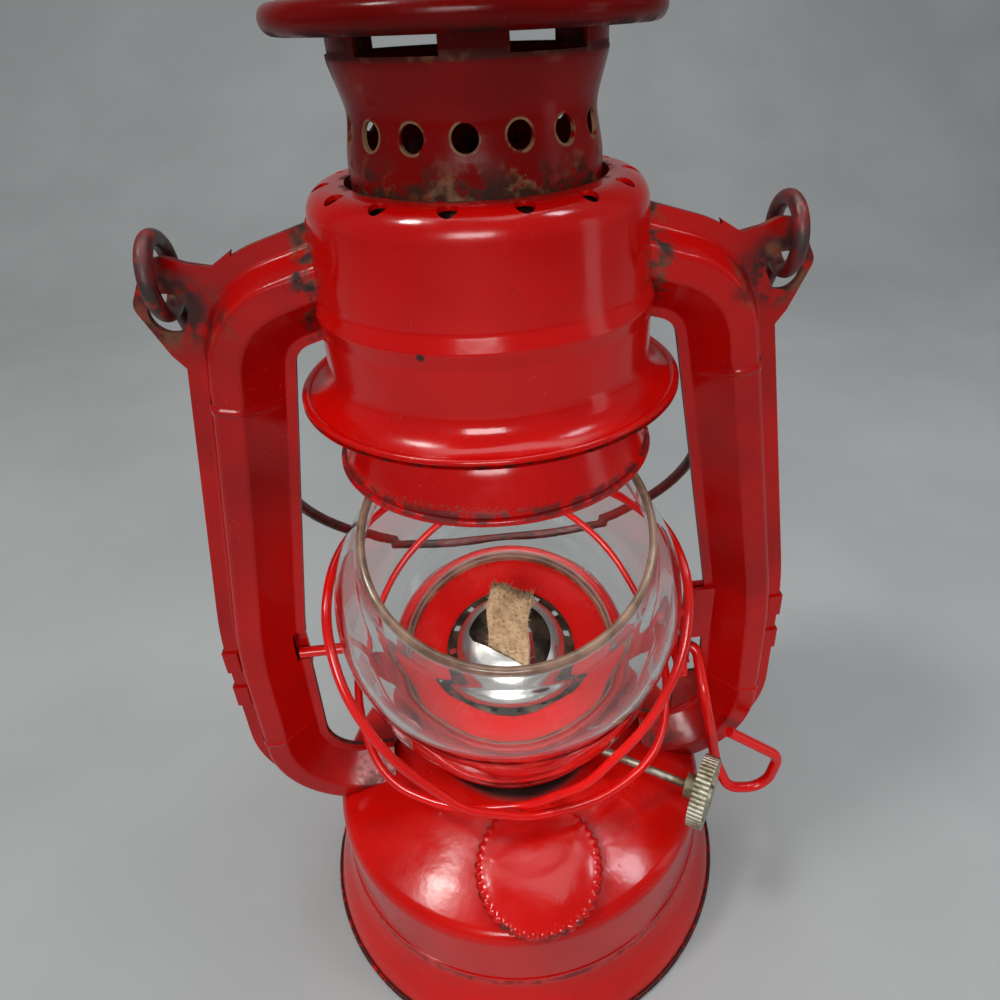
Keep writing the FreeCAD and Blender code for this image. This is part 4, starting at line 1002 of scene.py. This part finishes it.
# Stage, lights and camera
def stage():
    """A floor that curves up into a backdrop, in metres."""
    bm = bmesh.new()
    wide, bend_y, bend_r = 3.0, 0.55, 0.5
    turns = [math.radians(a) for a in range(6, 91, 6)]
    rows = [(-2.5, 0.0), (bend_y, 0.0)]
    rows += [(bend_y + bend_r * math.sin(a), bend_r - bend_r * math.cos(a)) for a in turns]
    rows += [(bend_y + bend_r, 2.5)]
    previous = None
    for y, z in rows:
        pair = [bm.verts.new((-wide, y, z)), bm.verts.new((wide, y, z))]
        if previous:
            bm.faces.new((previous[0], previous[1], pair[1], pair[0]))
        previous = pair
    mesh = bpy.data.meshes.new("studio_floor")
    bm.to_mesh(mesh)
    bm.free()
    mesh.shade_smooth()
    n = Nodes("floor_paper")
    colour = n.mix(n.span(n.noise(7.0, 3.0), 0.3, 0.7), rgb(158, 160, 160), rgb(166, 168, 168))
    mesh.materials.append(n.finish(Base_Color=colour, Roughness=0.8, Specular_IOR_Level=0.2,
                                   Normal=n.bump(n.noise(400.0, 2.0), 0.05, 0.0005)))
    floor = bpy.data.objects.new("studio_floor", mesh)
    bpy.context.scene.collection.objects.link(floor)


def area(name, place, target, size, size_y, power, colour):
    """A rectangular lamp, in metres and watts, that points at target."""
    data = bpy.data.lights.new(name, "AREA")
    data.energy = power
    data.color = colour
    data.shape = "RECTANGLE"
    data.size = size
    data.size_y = size_y
    lamp = bpy.data.objects.new(name, data)
    bpy.context.scene.collection.objects.link(lamp)
    lamp.location = place
    lamp.visible_camera = False
    lamp.rotation_euler = (Vector(target) - Vector(place)).to_track_quat("-Z", "Y").to_euler()


stage()
area("window_right", (0.56, -0.15, 1.02), (0, 0, 0.10), 0.14, 0.20, 1.5, (0.88, 0.94, 1.0))
area("window_left", (-0.52, -0.14, 1.06), (0, 0, 0.10), 0.13, 0.16, 3.8, (1.0, 0.98, 0.95))
area("window_front", (-0.16, -1.05, 0.66), (0, 0, 0.15), 0.5, 0.3, 7.0, (1.0, 1.0, 1.0))
area("low_right", (0.46, -0.17, 0.20), (0, 0, 0.20), 0.10, 0.36, 0.10, (0.96, 0.98, 1.0))
area("soft_top", (0.05, 0.1, 1.2), (0, 0, 0.12), 0.8, 0.8, 5.0, (1.0, 1.0, 1.0))
world = bpy.data.worlds.new("studio")
bpy.context.scene.world = world
world.use_nodes = True
world.node_tree.nodes["Background"].inputs[0].default_value = (0.80, 0.84, 0.88, 1)
world.node_tree.nodes["Background"].inputs[1].default_value = 0.23

# The photograph's camera, as solved from the base circle, the drum's circles and the side tubes
yaw, pitch, roll = (math.radians(a) for a in (5.13, 34.32, -2.42))
eye = (-0.00523, -0.14527, 0.23895)
focal_pixels, photo_pixels, sensor_mm = 722.0, 1000.0, 36.0
ahead = Vector((math.sin(yaw) * math.cos(pitch), math.cos(yaw) * math.cos(pitch), -math.sin(pitch)))
level = ahead.cross(Vector((0, 0, 1))).normalized()
above = level.cross(ahead)
right = level * math.cos(roll) + above * math.sin(roll)
up = above * math.cos(roll) - level * math.sin(roll)
camera_data = bpy.data.cameras.new("camera")
camera = bpy.data.objects.new("camera", camera_data)
bpy.context.scene.collection.objects.link(camera)
camera.matrix_world = Matrix([(right[k], up[k], -ahead[k], eye[k]) for k in range(3)] + [(0, 0, 0, 1)])
camera_data.sensor_width = sensor_mm
camera_data.lens = focal_pixels / photo_pixels * sensor_mm
camera_data.shift_x = -0.033
camera_data.clip_start = 0.005
bpy.context.scene.camera = camera
bpy.context.scene.view_settings.view_transform = "Standard"
